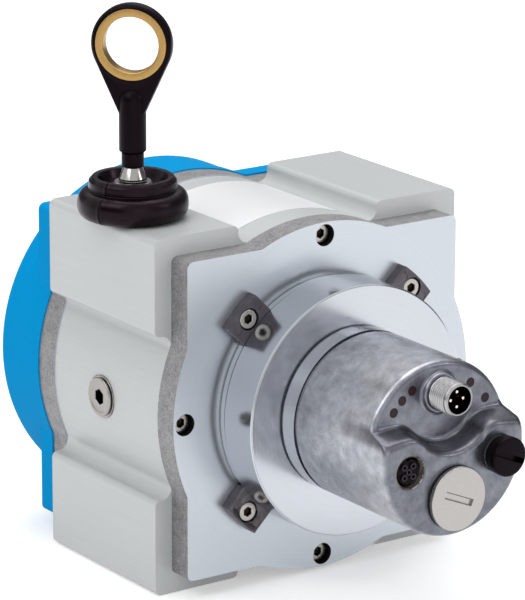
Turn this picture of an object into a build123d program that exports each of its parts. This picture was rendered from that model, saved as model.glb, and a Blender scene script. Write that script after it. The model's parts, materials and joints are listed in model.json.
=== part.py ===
from build123d import *
import math
import os

# Draw wire encoder, in millimetres.
# The drum axis runs along Y, the encoder looks towards -Y and the wire leaves upwards along +Z.
# The origin is the centre of the base, below the drum axis at the middle of the extruded body.

os.makedirs("parts", exist_ok=True)

# Fits
fixed_gap = 0.04  # round pieces that are pressed, glued or screwed together
running_gap = 0.05  # radial play of what turns or slides
air_gap = 0.3  # between moving pieces that only pass each other

# Extruded body
body_width = 130.0
body_length = 68.0
body_corner_r = 2.5
block_width = 35.0
block_edge_r = 2.0
block_root_r = 4.0
barrel_sink = 1.5  # how far the barrel lies below the faces of the corner blocks
barrel_wall = 7.5
hollow_wall = 8.5
hollow_web = 5.0
hollow_inset = 4.0
hollow_corner_r = 2.0
hollow_corner_share = 0.35  # of the hollow's shortest side, the most that its corners may round away
foot_hole_r = 3.0
foot_hole_inset = 12.0

# End plates
plate_thickness = 10.0
plate_inset = 6.9  # from the sides of the body to the sides of the plate's square
plate_corner_r = 2.5
plate_overhang = 0.5
plate_notch_r = 3.0
plate_screw_inset = 4.3
plate_screw_recess = 6.6

# Cap screws
m4_shank_r = 2.0
m4_head_r = 3.5
m4_head_height = 4.0
m4_key = 3.0
low_head_height = 2.8
head_gap = 0.5
key_depth = 1.8

# Mounting ring and its four servo clamps
ring_r = 45.65
ring_length = 20.6
ring_foot_step = 1.05
ring_foot_length = 3.2
ring_groove_depth = 3.25
ring_groove_width = 1.4
ring_wall = 7.65
ring_front_wall = 6.0
ring_edge = 0.6
clamp_screw_offset = 5.3  # from the ring's foot to the middle of a clamp's screw
clamp_span = 16.0
clamp_margin = 4.7  # from the middle of a clamp's screw to the clamp's outer edge
clamp_height = 4.4
clamp_screw_recess = 3.2
clamp_mark_r = 1.6
clamp_mark_depth = 0.15
clamp_mark_spread = 5.8
clamp_mark_offset = 0.7
clamp_first_angle = 45.0

# Encoder
encoder_r = 30.0
encoder_length = 56.0
encoder_lip = 3.3
encoder_groove_width = 1.9
encoder_groove_depth = 1.1
encoder_wall = 2.7
encoder_ledge = 2.5
encoder_edge_r = 2.4
step_depth = 9.9
step_draft = 1.7
bowl_r = 17.2
shoulder_height = 9.7
shoulder_r = 4.0
end_wall = 3.0
spigot_r = 18.0
spigot_length = 3.0
flange_pilot_length = 4.2
flange_hub_r = 14.0
encoder_bearing_r = 11.0
encoder_bearing_width = 6.0
encoder_shaft_r = 5.0
encoder_screw_inset = 6.0
code_disc_r = 22.0
code_disc_thickness = 1.0
code_disc_seat_r = 8.0
board_thickness = 1.6
board_depth = 27.0

# Connectors on the encoder's end
plug_inset = 11.0
plug_collar_r = 6.5
plug_collar_length = 2.0
plug_thread_r = 6.0
plug_mouth_r = 4.85
plug_length = 12.0
plug_room_depth = 9.0
pin_r = 0.5
pin_circle_r = 2.65
pin_length = 7.0
port_inset = 10.6
port_angle = 11.0
port_shell_r = 6.5
port_mouth_r = 5.86
port_insert_r = 4.4
port_insert_recess = 1.5
port_base_length = 2.0
contact_r = 0.6
contact_circle_r = 2.6
contact_depth = 3.0
lens_r = 1.7
lens_inset = 5.8
lens_angles = (34.0, 56.0, 118.0, 130.0, 142.0)
lens_recess = 0.15

# Setting port under its slotted cap
setting_inset = 14.0
setting_port_r = 9.6
setting_port_depth = 10.0
setting_cap_r = 11.4
setting_cap_thickness = 1.7
setting_shank_length = 5.6
setting_seal_thickness = 0.7
setting_seal_r = 10.9
setting_slot_length = 12.4
setting_slot_width = 1.9
setting_slot_depth = 0.7
setting_slot_angle = -23.0
button_r = 3.0
button_knob_r = 4.5
button_knob_length = 2.0
button_travel = 1.0
switch_width = 6.2
switch_height = 3.4

# Dust cap on the spare port
dust_cap_r = 7.0
dust_cap_length = 5.3
dust_cap_shank_length = 6.0
dust_cap_shank_wall = 1.0
dust_cap_seal_thickness = 0.6
dust_cap_slot_width = 1.6
dust_cap_slot_depth = 1.1
dust_cap_edge = 0.6

# Drum, its shaft and the fixed sleeve that leads it along
drum_room_gap = 1.4
drum_lip_height = 2.1
drum_lip = 1.5
drum_wall = 4.0
drum_length = 28.5
drum_web = 3.5
drum_hub_r = 21.0
drum_window_r = 8.5
drum_window_margin = 6.0
drum_window_count = 6
key_hub_r = 12.5
key_hub_length = 10.0
shaft_key_width = 16.0
journal_r = 6.0
tail_r = 5.0
bearing_r = 12.0
bearing_width = 6.0
sleeve_r = 17.0
sleeve_bore_r = 13.6
sleeve_seat_depth = 4.0
coupling_r = 12.2
coupling_length = 15.0
coupling_groove_r = 10.4
coupling_groove_width = 1.6
shaft_joint_gap = 2.0

# Wire
wire_r = 0.675
wire_turns = 15
wire_pitch = 1.5
wire_y = -2.5

# Spring drive behind the rear plate
spring_overhang = 0.2
spring_housing_length = 28.0
spring_flange_length = 7.7
spring_flange_overhang = 0.5
spring_flange_margin = 0.6
spring_wall = 4.7
spring_back_wall = 3.0
spring_edge_r = 4.0
spring_tab_inset = 8.1
spring_tab_recess = 5.0
spring_width = 18.0
spring_pack_thickness = 12.2
spring_leaf = 0.8
spring_leaf_half_turns = 3
arbor_r = 13.0

# Wire outlet on the upper left corner block
nozzle_r = 7.4
nozzle_height = 12.8
nozzle_thread_r = 6.0
nozzle_bore_r = 1.3
felt_r = 3.6
felt_length = 5.0
wire_way_foot = 9.0  # height above the drum axis where the wire's hole in the block ends
bumper_r = 19.6
bumper_waist_r = 15.2
bumper_lip_r = 15.7
bumper_mouth_r = 11.8
bumper_height = 14.6
bumper_waist_height = 10.0

# Wire end and pull eye, heights above the top of the nozzle
cone_base_r = 5.0
cone_top_r = 3.2
cone_height = 5.0
collar_r = 3.95
collar_length = 5.2
swivel_pin_r = 2.4
swivel_head_r = 3.1
swivel_head_length = 3.0
swivel_pin_length = 15.0
shank_r = 4.8
shank_length = 23.2
eye_r = 14.15
eye_neck_half_width = 3.9
eye_bore_r = 9.9
eye_bush_r = 12.7
eye_thickness = 5.6
eye_bush_thickness = 5.4
eye_edge_r = 0.8
eye_height = 49.0
eye_neck_height = 23.0
eye_angle = 46.5

# Plug on the left side and label on top
side_plug_y = 2.5
side_plug_drop = 0.9
side_plug_r = 7.5
side_plug_head = 1.2
side_plug_thread_r = 5.0
side_plug_thread_length = 6.0
side_plug_key = 5.0
side_plug_key_depth = 3.0
side_seal_thickness = 0.6
side_seat_r = 8.0
side_seat_depth = 0.5
label_width = 44.0
label_length = 46.0
label_thickness = 0.25
label_y = 1.0

# Radii and places that the sizes above give
barrel_r = body_width / 2 - barrel_sink
drum_room_r = barrel_r - barrel_wall
drum_lip_r = drum_room_r - drum_room_gap
drum_r = drum_lip_r - drum_lip_height
drum_window_circle_r = drum_r - drum_wall - drum_window_margin - drum_window_r
block_centre = (body_width - block_width) / 2
foot_hole_side = 2 * block_centre
foot_hole_length = body_length - 2 * foot_hole_inset
plate_half_width = body_width / 2 - plate_inset
plate_disc_r = barrel_r + plate_overhang
plate_screw_circle_r = barrel_r - plate_screw_inset
ring_foot_r = ring_r - ring_foot_step
ring_groove_r = ring_r - ring_groove_depth
ring_room_r = ring_r - ring_wall
clamp_circle_r = ring_foot_r + clamp_screw_offset
clamp_outer_r = clamp_circle_r + clamp_margin
encoder_groove_r = encoder_r - encoder_groove_depth
encoder_room_r = encoder_r - encoder_wall
encoder_ledge_r = encoder_room_r - encoder_ledge
plug_height = encoder_r - plug_inset
port_circle_r = encoder_r - port_inset
lens_circle_r = encoder_r - lens_inset
setting_drop = encoder_r - setting_inset
encoder_screw_circle_r = encoder_r - encoder_screw_inset
spring_housing_r = plate_disc_r + spring_overhang
spring_room_r = spring_housing_r - spring_wall
spring_pack_r = spring_room_r - air_gap - spring_pack_thickness
spring_flange_half_width = plate_half_width + spring_flange_margin
spring_flange_disc_r = plate_disc_r + spring_flange_overhang
spring_tab_screw = plate_half_width - spring_tab_inset

# Stations along the drum axis that the sizes above give
axis_height = body_width / 2
body_front = -body_length / 2
body_back = body_length / 2
plate_front = body_front - plate_thickness
plate_back = body_back + plate_thickness
ring_front = plate_front - ring_length
encoder_front = ring_front - encoder_length
upper_face = encoder_front + step_depth
housing_back = ring_front - encoder_lip - encoder_groove_width
inner_face = upper_face + end_wall
board_back = ring_front - board_depth + board_thickness
board_front = ring_front - board_depth
wire_x = -(drum_r + wire_r + 0.02)
drum_front = wire_y - wire_r - air_gap - drum_lip
drum_back = drum_front + drum_length
drum_travel = wire_turns * wire_pitch
nozzle_top = body_width + nozzle_height


def facing_front(y, x=0.0, z=axis_height):
    """A sketch plane across the drum axis, seen from the encoder's side: local x is +X and local y is +Z."""
    return Plane(origin=(x, y, z), x_dir=(1, 0, 0), z_dir=(0, -1, 0))


def bar(outline, back, front, x=0.0, z=axis_height):
    """An outline drawn across the drum axis and extruded from its back station to its front one."""
    return extrude(facing_front(back, x, z) * outline, amount=back - front)


def tube(outer_r, inner_r, back, front, x=0.0, z=axis_height):
    """A round sleeve along Y."""
    return bar(Circle(outer_r) - Circle(inner_r), back, front, x, z)


def rod(radius, back, front, x=0.0, z=axis_height):
    """A round bar along Y."""
    return bar(Circle(radius), back, front, x, z)


def turned(points, x=0.0, z=axis_height):
    """A piece turned about a line along Y: its half outline is a list of (y, radius) points."""
    lathe = Plane(origin=(x, 0, z), x_dir=(0, 1, 0), z_dir=(1, 0, 0))
    half = lathe * make_face(Polyline(*points, close=True))
    return revolve(half, axis=Axis((x, 0, z), (0, 1, 0)))


def turned_upright(points, x, y):
    """A piece turned about a vertical line: its half outline is a list of (radius, z) points."""
    lathe = Plane(origin=(x, y, 0), x_dir=(1, 0, 0), z_dir=(0, -1, 0))
    half = lathe * make_face(Polyline(*points, close=True))
    return revolve(half, axis=Axis((x, y, 0), (0, 0, 1)))


def corners_at(outline, distance):
    """The corners of an outline that lie this far from its centre, away from its two middle lines."""
    return [
        v
        for v in outline.vertices()
        if abs(math.hypot(v.X, v.Y) - distance) < 0.01 and min(abs(v.X), abs(v.Y)) > 1
    ]


def cap_screw(head_y, shank_end_y, shank_r, head_r, head_height, key, x, z):
    """A socket head cap screw along Y. Its head faces -Y where the shank ends behind it, and +Y otherwise."""
    outward = -1 if shank_end_y > head_y else 1
    head_end_y = head_y + outward * head_height
    screw = rod(head_r, max(head_y, head_end_y), min(head_y, head_end_y), x, z)
    screw += rod(shank_r, max(head_y, shank_end_y), min(head_y, shank_end_y), x, z)
    floor_y = head_end_y - outward * key_depth
    socket = RegularPolygon(key / 2, 6, major_radius=False)
    return screw - bar(socket, max(head_end_y, floor_y), min(head_end_y, floor_y), x, z)


def quarter_points(radius, first=0.0):
    """Four points at equal turns on a circle round the drum axis, as (x, z)."""
    angles = [math.radians(first + 90 * k) for k in range(4)]
    return [(radius * math.cos(a), axis_height + radius * math.sin(a)) for a in angles]


def tab_points():
    """The four corner points of the end plates, as (x, z)."""
    return [
        (sx * spring_tab_screw, axis_height + sz * spring_tab_screw)
        for sx in (-1, 1)
        for sz in (-1, 1)
    ]


def port_point(side):
    """The centre of the left or right port on the encoder's end, as (x, z)."""
    angle = math.radians(port_angle)
    return side * port_circle_r * math.cos(angle), axis_height - port_circle_r * math.sin(angle)


def encoder_screw_points():
    """The three screw places between ring and encoder, as (x, z)."""
    angles = [math.radians(90 + 120 * k) for k in range(3)]
    return [
        (encoder_screw_circle_r * math.cos(a), axis_height + encoder_screw_circle_r * math.sin(a))
        for a in angles
    ]


def body_outline():
    """The extrusion's outer outline: a barrel and four corner blocks with rounded roots and edges."""
    outline = Circle(barrel_r)
    for sx in (-1, 1):
        for sy in (-1, 1):
            outline += Pos(sx * block_centre, sy * block_centre) * Rectangle(block_width, block_width)
    block_start = body_width / 2 - block_width
    outline = fillet(corners_at(outline, barrel_r), block_root_r)
    outline = fillet(corners_at(outline, math.hypot(block_start, body_width / 2)), block_edge_r)
    return fillet(corners_at(outline, math.hypot(body_width / 2, body_width / 2)), body_corner_r)


def corner_hollow():
    """The hollow inside one corner block, between the drum room's wall and the two outer walls."""
    outer = body_width / 2 - hollow_wall
    inner = body_width / 2 - block_width + hollow_inset
    side = outer - inner
    middle = (outer + inner) / 2
    web_r = drum_room_r + hollow_web
    hollow = Pos(middle, middle) * Rectangle(side, side) - Circle(web_r)
    short_side = outer - math.sqrt(web_r**2 - inner**2)
    return fillet(hollow.vertices(), min(hollow_corner_r, hollow_corner_share * short_side))


def body_profile():
    """The extruded body with its drum room, corner hollows, tapped holes and wire and plug holes."""
    outline = body_outline() - Circle(drum_room_r)
    for turn in range(4):
        outline -= Rot(0, 0, 90 * turn) * corner_hollow()
    body = bar(outline, body_back, body_front)
    screw_depth = plate_screw_reach()
    for x, z in quarter_points(plate_screw_circle_r):
        body -= rod(m4_shank_r + fixed_gap, body_front + screw_depth, body_front, x, z)
        body -= rod(m4_shank_r + fixed_gap, body_back, body_back - screw_depth, x, z)
    for sx in (-1, 1):
        for sy in (-1, 1):
            place = Pos(sx * foot_hole_side / 2, sy * foot_hole_length / 2, hollow_wall / 2)
            body -= place * Cylinder(foot_hole_r, hollow_wall)
    nozzle_seat = Pos(wire_x, wire_y, body_width - hollow_wall / 2) * Cylinder(nozzle_thread_r + fixed_gap, hollow_wall)
    way_depth = body_width - axis_height - wire_way_foot
    wire_way = Pos(wire_x, wire_y, body_width - way_depth / 2) * Cylinder(felt_r, way_depth)
    plug_axis = Plane(origin=(-barrel_r, side_plug_y, axis_height - side_plug_drop), z_dir=(1, 0, 0))
    wall = barrel_r - drum_room_r
    plug_hole = extrude(plug_axis * Circle(side_plug_thread_r + fixed_gap), amount=wall + 1)
    plug_seat = extrude(plug_axis * Circle(side_seat_r), amount=side_seat_depth)
    return body - nozzle_seat - wire_way - plug_hole - plug_seat


def plate_screw_reach():
    """How deep a plate screw goes into the body."""
    return plate_thickness


def plate_outline(half_width=plate_half_width, disc_r=plate_disc_r):
    """The outline that the end plates share: a square with rounded corners joined to a larger disc."""
    outline = RectangleRounded(2 * half_width, 2 * half_width, plate_corner_r) + Circle(disc_r)
    return fillet(corners_at(outline, disc_r), plate_notch_r)


def front_plate():
    """The front plate: bearing bore, sleeve seat, recessed screw holes and tapped clamp holes."""
    plate = bar(plate_outline(), body_front, plate_front)
    plate -= rod(bearing_r + fixed_gap, body_front, plate_front)
    plate -= rod(sleeve_r + fixed_gap, body_front, body_front - sleeve_seat_depth)
    recess_floor = plate_front + plate_screw_recess
    for x, z in quarter_points(plate_screw_circle_r):
        plate -= rod(m4_shank_r + fixed_gap, body_front, plate_front, x, z)
        plate -= rod(m4_head_r + head_gap, recess_floor, plate_front, x, z)
    for x, z in quarter_points(clamp_circle_r, clamp_first_angle):
        plate -= rod(m4_shank_r + fixed_gap, plate_front + clamp_screw_reach(), plate_front, x, z)
    return plate


def clamp_screw_reach():
    """How deep a clamp screw goes into the front plate."""
    return 3 * m4_shank_r


def rear_plate():
    """The rear plate: bearing bore, recessed screw holes and tapped holes for the spring housing."""
    plate = bar(plate_outline(), plate_back, body_back)
    plate -= rod(bearing_r + fixed_gap, body_back + bearing_width, body_back)
    plate -= rod(journal_r + 2, plate_back, body_back)
    for x, z in quarter_points(plate_screw_circle_r):
        plate -= rod(m4_shank_r + fixed_gap, plate_back, body_back, x, z)
        plate -= rod(m4_head_r + head_gap, plate_back, plate_back - plate_screw_recess, x, z)
    for x, z in tab_points():
        plate -= rod(m4_shank_r + fixed_gap, plate_back, plate_back - spring_screw_reach(), x, z)
    return plate


def spring_screw_reach():
    """How deep a spring housing screw goes into the rear plate."""
    return 4 * m4_shank_r


def front_plate_screws():
    """Four cap screws that hold the front plate on the body."""
    head_y = plate_front + plate_screw_recess
    end_y = body_front + plate_screw_reach()
    return [
        cap_screw(head_y, end_y, m4_shank_r, m4_head_r, m4_head_height, m4_key, x, z)
        for x, z in quarter_points(plate_screw_circle_r)
    ]


def rear_plate_screws():
    """Four cap screws that hold the rear plate on the body, under the spring housing."""
    head_y = plate_back - plate_screw_recess
    end_y = body_back - plate_screw_reach()
    return [
        cap_screw(head_y, end_y, m4_shank_r, m4_head_r, m4_head_height, m4_key, x, z)
        for x, z in quarter_points(plate_screw_circle_r)
    ]


def mounting_ring():
    """The turned ring between plate and encoder, with a gripped foot, a groove and a front wall."""
    groove_back = plate_front - ring_foot_length
    groove_front = groove_back - ring_groove_width
    outside = turned(
        [
            (plate_front, 0),
            (plate_front, ring_foot_r),
            (groove_back, ring_foot_r),
            (groove_back, ring_groove_r),
            (groove_front, ring_groove_r),
            (groove_front, ring_r),
            (ring_front + ring_edge, ring_r),
            (ring_front, ring_r - ring_edge),
            (ring_front, 0),
        ]
    )
    ring = outside - rod(ring_room_r, plate_front, ring_front + ring_front_wall)
    ring -= rod(spigot_r + fixed_gap, plate_front, ring_front)
    for x, z in encoder_screw_points():
        ring -= rod(m4_shank_r + fixed_gap, plate_front, ring_front, x, z)
    return ring


def servo_clamp(turn):
    """One clamp at a turn round the axis: a block with a curved back whose nose sits in the ring's groove."""
    front = plate_front - clamp_height
    middle = (ring_room_r + clamp_outer_r) / 2
    window = Pos(middle, 0) * Rectangle(clamp_outer_r - ring_room_r, clamp_span)
    block = bar(Circle(clamp_outer_r) & window, plate_front, front)
    block -= rod(ring_foot_r + air_gap, plate_front, plate_front - ring_foot_length)
    block -= rod(ring_groove_r + air_gap, plate_front - ring_foot_length, front)
    block -= rod(m4_shank_r + fixed_gap, plate_front, front, clamp_circle_r)
    block -= rod(m4_head_r + head_gap, front + clamp_screw_recess, front, clamp_circle_r)
    for side in (-1, 1):
        mark_z = axis_height + side * clamp_mark_spread
        block -= rod(clamp_mark_r, front + clamp_mark_depth, front, clamp_circle_r + clamp_mark_offset, mark_z)
    return block.rotate(Axis((0, 0, axis_height), (0, -1, 0)), turn)


def servo_clamps():
    """The four clamps at equal turns round the ring."""
    return [servo_clamp(clamp_first_angle + 90 * k) for k in range(4)]


def clamp_screws():
    """Four low cap screws, one in each clamp."""
    head_y = plate_front - clamp_height + clamp_screw_recess
    end_y = plate_front + clamp_screw_reach()
    return [
        cap_screw(head_y, end_y, m4_shank_r, m4_head_r, low_head_height, m4_key, x, z)
        for x, z in quarter_points(clamp_circle_r, clamp_first_angle)
    ]


def encoder_flange():
    """The encoder's turned flange: lip, neck, pilot inside the housing, hub for the bearing and spigot."""
    pilot_front = housing_back - flange_pilot_length
    hub_front = pilot_front - encoder_bearing_width
    neck_back = ring_front - encoder_lip
    flange = turned(
        [
            (ring_front + spigot_length, 0),
            (ring_front + spigot_length, spigot_r),
            (ring_front, spigot_r),
            (ring_front, encoder_r),
            (neck_back, encoder_r),
            (neck_back, encoder_groove_r),
            (housing_back, encoder_groove_r),
            (housing_back, encoder_room_r - fixed_gap),
            (pilot_front, encoder_room_r - fixed_gap),
            (pilot_front, flange_hub_r),
            (hub_front, flange_hub_r),
            (hub_front, 0),
        ]
    )
    flange -= rod(encoder_bearing_r + fixed_gap, pilot_front, hub_front)
    flange -= rod(encoder_shaft_r + 1, ring_front + spigot_length, hub_front)
    flange -= rod(coupling_r + 1, ring_front + spigot_length, ring_front)
    for x, z in encoder_screw_points():
        flange -= rod(m4_shank_r + fixed_gap, ring_front, ring_front - encoder_screw_reach(), x, z)
    return flange


def encoder_screw_reach():
    """How deep an encoder screw goes into the flange."""
    return encoder_lip + encoder_groove_width


def encoder_screws():
    """Three cap screws that hold the encoder on the ring from inside."""
    head_y = ring_front + ring_front_wall
    end_y = ring_front - encoder_screw_reach()
    return [
        cap_screw(head_y, end_y, m4_shank_r, m4_head_r, m4_head_height, m4_key, x, z)
        for x, z in encoder_screw_points()
    ]


def upper_field(grow):
    """The outline of the sunk upper face: a bowl round the plug, open to wide shoulders on both sides."""
    above = 2 * encoder_r
    base = shoulder_height - grow
    bowl = Pos(0, plug_height) * Circle(bowl_r + grow)
    sides = Pos(0, base + above / 2) * Rectangle(2 * above, above)
    field = bowl + sides
    throat = [v for v in field.vertices() if abs(v.Y - base) < 0.01 and abs(v.X) < encoder_r]
    return fillet(throat, shoulder_r)


def rounded_end_bar(front):
    """A round bar of the encoder's radius with a rounded rim at its front end."""
    block = rod(encoder_r, housing_back, front)
    rim = block.edges().filter_by(GeomType.CIRCLE).sort_by(Axis.Y)[0]
    return fillet(rim, encoder_edge_r)


def encoder_housing():
    """The die-cast cap of the encoder, with a waved step across its end and bores for what sits there."""
    foot = facing_front(upper_face) * upper_field(0.0)
    above_crest = facing_front(encoder_front - step_depth) * upper_field(2 * step_draft)
    block = rounded_end_bar(encoder_front)
    block -= bar(upper_field(0.0), upper_face + encoder_edge_r, upper_face)
    block -= loft([foot, above_crest], ruled=True)
    block += rounded_end_bar(upper_face)
    block -= rod(encoder_room_r, housing_back, board_front)
    block -= rod(encoder_ledge_r, housing_back, inner_face)
    port_depth = encoder_front + setting_port_depth
    block -= rod(setting_port_r, port_depth, encoder_front, 0, axis_height - setting_drop)
    block -= rod(button_r + running_gap, inner_face, encoder_front, 0, axis_height - setting_drop)
    block -= rod(plug_thread_r + fixed_gap, inner_face, encoder_front, 0, axis_height + plug_height)
    for side in (-1, 1):
        x, z = port_point(side)
        block -= rod(port_shell_r + fixed_gap, inner_face, encoder_front, x, z)
    for x, z in lens_points():
        block -= rod(lens_r + fixed_gap, inner_face, upper_face, x, z)
    return block


def lens_points():
    """Where the small light windows sit on the upper face, as (x, z)."""
    angles = [math.radians(a) for a in lens_angles]
    return [(lens_circle_r * math.cos(a), axis_height + lens_circle_r * math.sin(a)) for a in angles]


def status_lenses():
    """The small round light windows on the upper face."""
    return [rod(lens_r, inner_face, upper_face + lens_recess, x, z) for x, z in lens_points()]


def encoder_bearing():
    """The encoder shaft's bearing."""
    back = housing_back - flange_pilot_length
    return tube(encoder_bearing_r, encoder_shaft_r + running_gap, back, back - encoder_bearing_width)


def encoder_shaft():
    """The encoder's shaft, from the coupling to the seat of the code disc."""
    back = coupling_middle() - shaft_joint_gap / 2
    seat_back = housing_back - flange_pilot_length - encoder_bearing_width - air_gap
    seat_front = seat_back - code_disc_thickness
    return rod(encoder_shaft_r, back, seat_back) + rod(code_disc_seat_r, seat_back, seat_front)


def code_disc():
    """The thin disc that the encoder reads, on the end of its shaft."""
    back = housing_back - flange_pilot_length - encoder_bearing_width - air_gap - code_disc_thickness
    return rod(code_disc_r, back, back - code_disc_thickness)


def circuit_board():
    """The round circuit board, seated on the ledge inside the housing."""
    return rod(encoder_room_r - fixed_gap, board_back, board_front)


def preset_switch():
    """The small push switch on the board, behind the setting button."""
    return bar(Rectangle(switch_width, switch_width), board_front, board_front - switch_height, 0, axis_height - setting_drop)


def plug_shell():
    """The threaded metal shell of the upper connector, with its collar."""
    x, z = 0, axis_height + plug_height
    front = upper_face - plug_length
    shell = turned(
        [
            (inner_face, 0),
            (inner_face, plug_thread_r),
            (upper_face, plug_thread_r),
            (upper_face, plug_collar_r),
            (upper_face - plug_collar_length, plug_collar_r),
            (upper_face - plug_collar_length, plug_thread_r),
            (front, plug_thread_r),
            (front, 0),
        ],
        x,
        z,
    )
    return shell - rod(plug_mouth_r, inner_face, front, x, z)


def plug_insert():
    """The plastic insert of the upper connector, at the bottom of its mouth."""
    front = upper_face - plug_length + plug_room_depth
    return rod(plug_mouth_r - fixed_gap, inner_face, front, 0, axis_height + plug_height)


def plug_pins():
    """Four contact pins that stand on the insert."""
    back = upper_face - plug_length + plug_room_depth
    places = [math.radians(90 * k) for k in range(4)]
    return [
        rod(
            pin_r,
            back,
            back - pin_length,
            pin_circle_r * math.cos(a),
            axis_height + plug_height + pin_circle_r * math.sin(a),
        )
        for a in places
    ]


def port_shell(side):
    """The threaded metal shell of a lower port, flush with the lower face."""
    x, z = port_point(side)
    return tube(port_shell_r, port_mouth_r, inner_face, encoder_front, x, z)


def port_insert(side):
    """The plastic insert of a lower port, with its contact holes and key slot."""
    x, z = port_point(side)
    front = encoder_front + port_insert_recess
    base_front = inner_face - port_base_length
    insert = rod(port_mouth_r - fixed_gap, inner_face, base_front, x, z)
    insert += rod(port_insert_r, base_front, front, x, z)
    insert -= rod(contact_r, front + contact_depth, front, x, z)
    for k in range(4):
        angle = math.radians(45 + 90 * k)
        hole_x = x + contact_circle_r * math.cos(angle)
        hole_z = z + contact_circle_r * math.sin(angle)
        insert -= rod(contact_r, front + contact_depth, front, hole_x, hole_z)
    key = Pos(0, port_insert_r) * Rectangle(2 * contact_r, 2 * contact_r)
    return insert - bar(key, front + contact_depth, front, x, z)


def setting_cap():
    """The slotted metal cap that screws into the setting port."""
    z = axis_height - setting_drop
    seat = encoder_front - setting_seal_thickness
    front = seat - setting_cap_thickness
    cap = rod(setting_cap_r, seat, front, 0, z)
    cap += rod(setting_port_r - running_gap, seat + setting_shank_length, seat, 0, z)
    slot = Rot(0, 0, setting_slot_angle) * Rectangle(setting_slot_length, setting_slot_width)
    return cap - bar(slot, front + setting_slot_depth, front, 0, z)


def setting_cap_seal():
    """The flat ring seal under the slotted cap."""
    seat = encoder_front - setting_seal_thickness
    return tube(setting_seal_r, setting_port_r, encoder_front, seat, 0, axis_height - setting_drop)


def setting_button():
    """The push button in the setting port, with a knob in the port and a stem down to the switch."""
    z = axis_height - setting_drop
    stem_back = board_front - switch_height - button_travel - air_gap
    floor_y = encoder_front + setting_port_depth
    knob_back = floor_y - button_travel - air_gap
    return rod(button_r, stem_back, knob_back, 0, z) + rod(button_knob_r, knob_back, knob_back - button_knob_length, 0, z)


def dust_cap():
    """The slotted plastic cap screwed into the spare port."""
    x, z = port_point(1)
    seat = encoder_front - dust_cap_seal_thickness
    front = seat - dust_cap_length
    cap = turned(
        [
            (seat, 0),
            (seat, dust_cap_r),
            (front + dust_cap_edge, dust_cap_r),
            (front, dust_cap_r - dust_cap_edge),
            (front, 0),
        ],
        x,
        z,
    )
    shank_r = port_mouth_r - running_gap
    cap += tube(shank_r, shank_r - dust_cap_shank_wall, seat + dust_cap_shank_length, seat, x, z)
    slot = Rot(0, 0, setting_slot_angle) * Rectangle(2 * dust_cap_r, dust_cap_slot_width)
    return cap - bar(slot, front + dust_cap_slot_depth, front, x, z)


def dust_cap_seal():
    """The ring seal under the dust cap."""
    x, z = port_point(1)
    seat = encoder_front - dust_cap_seal_thickness
    return tube(dust_cap_r - dust_cap_edge, port_mouth_r, encoder_front, seat, x, z)


def coupling_middle():
    """The station halfway along the shaft coupling."""
    return plate_front - 1 - coupling_length / 2


def shaft_coupling():
    """The coupling between drum shaft and encoder shaft, with two flexing grooves."""
    middle = coupling_middle()
    back = middle + coupling_length / 2
    front = middle - coupling_length / 2
    coupling = rod(coupling_r, back, front)
    for shift in (-2 * coupling_groove_width, 2 * coupling_groove_width):
        groove_back = middle + shift + coupling_groove_width / 2
        coupling -= tube(coupling_r, coupling_groove_r, groove_back, groove_back - coupling_groove_width)
    coupling -= rod(journal_r + fixed_gap, back, middle)
    return coupling - rod(encoder_shaft_r + fixed_gap, middle, front)


def drum_shaft():
    """The drum's shaft: a hexagonal middle that keys the drum, round journals and a tail for the spring."""
    key_back = body_back - air_gap
    key_front = body_front - sleeve_seat_depth + air_gap
    arbor_back = plate_back + spring_housing_length - spring_back_wall - 1
    shaft = bar(RegularPolygon(shaft_key_width / 2, 6, major_radius=False), key_back, key_front)
    shaft += rod(journal_r, key_front, coupling_middle() + shaft_joint_gap / 2)
    shaft += rod(journal_r, plate_back, key_back)
    return shaft + rod(tail_r, arbor_back, plate_back)


def front_bearing():
    """The drum shaft's bearing in the front plate."""
    front = body_front - sleeve_seat_depth - bearing_width
    return tube(bearing_r, journal_r + running_gap, front + bearing_width, front)


def rear_bearing():
    """The drum shaft's bearing in the rear plate."""
    return tube(bearing_r, journal_r + running_gap, body_back + bearing_width, body_back)


def guide_sleeve():
    """The fixed threaded sleeve that leads the drum along its shaft as it turns."""
    back = drum_back - drum_web - drum_travel - 2 * air_gap
    return tube(sleeve_r, sleeve_bore_r, back, body_front - sleeve_seat_depth)


def wire_drum():
    """The measuring drum: grooved rim with two lips, web with windows, leading hub and hexagonal hub."""
    web_front = drum_back - drum_web
    drum = tube(drum_r, drum_r - drum_wall, drum_back, drum_front)
    drum += tube(drum_lip_r, drum_r - drum_wall, drum_back, drum_back - drum_lip)
    drum += tube(drum_lip_r, drum_r - drum_wall, drum_front + drum_lip, drum_front)
    drum += rod(drum_r - drum_wall / 2, drum_back, web_front)
    drum += tube(drum_hub_r, sleeve_r + running_gap, web_front, body_front + drum_travel + 1)
    key_hub_front = web_front - (key_hub_length - drum_web) / 2
    drum += rod(key_hub_r, key_hub_front + key_hub_length, key_hub_front)
    hex_bore = RegularPolygon(shaft_key_width / 2 + running_gap, 6, major_radius=False)
    drum -= bar(hex_bore, key_hub_front + key_hub_length, key_hub_front)
    for k in range(drum_window_count):
        angle = 2 * math.pi * k / drum_window_count
        x = drum_window_circle_r * math.cos(angle)
        z = axis_height + drum_window_circle_r * math.sin(angle)
        drum -= rod(drum_window_r, drum_back, web_front, x, z)
    return drum


def wire_winding():
    """The turns of wire on the drum, as the sleeve that they fill beside the turn that leaves."""
    front = wire_y + wire_r + air_gap
    back = drum_back - drum_lip
    return tube(drum_r + 2 * wire_r, drum_r + fixed_gap, back, front)


def measuring_wire():
    """The straight wire from where it leaves the drum up into the wire end."""
    top = nozzle_top + air_gap + cone_height
    return Pos(wire_x, wire_y, (axis_height + top) / 2) * Cylinder(wire_r, top - axis_height)


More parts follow.
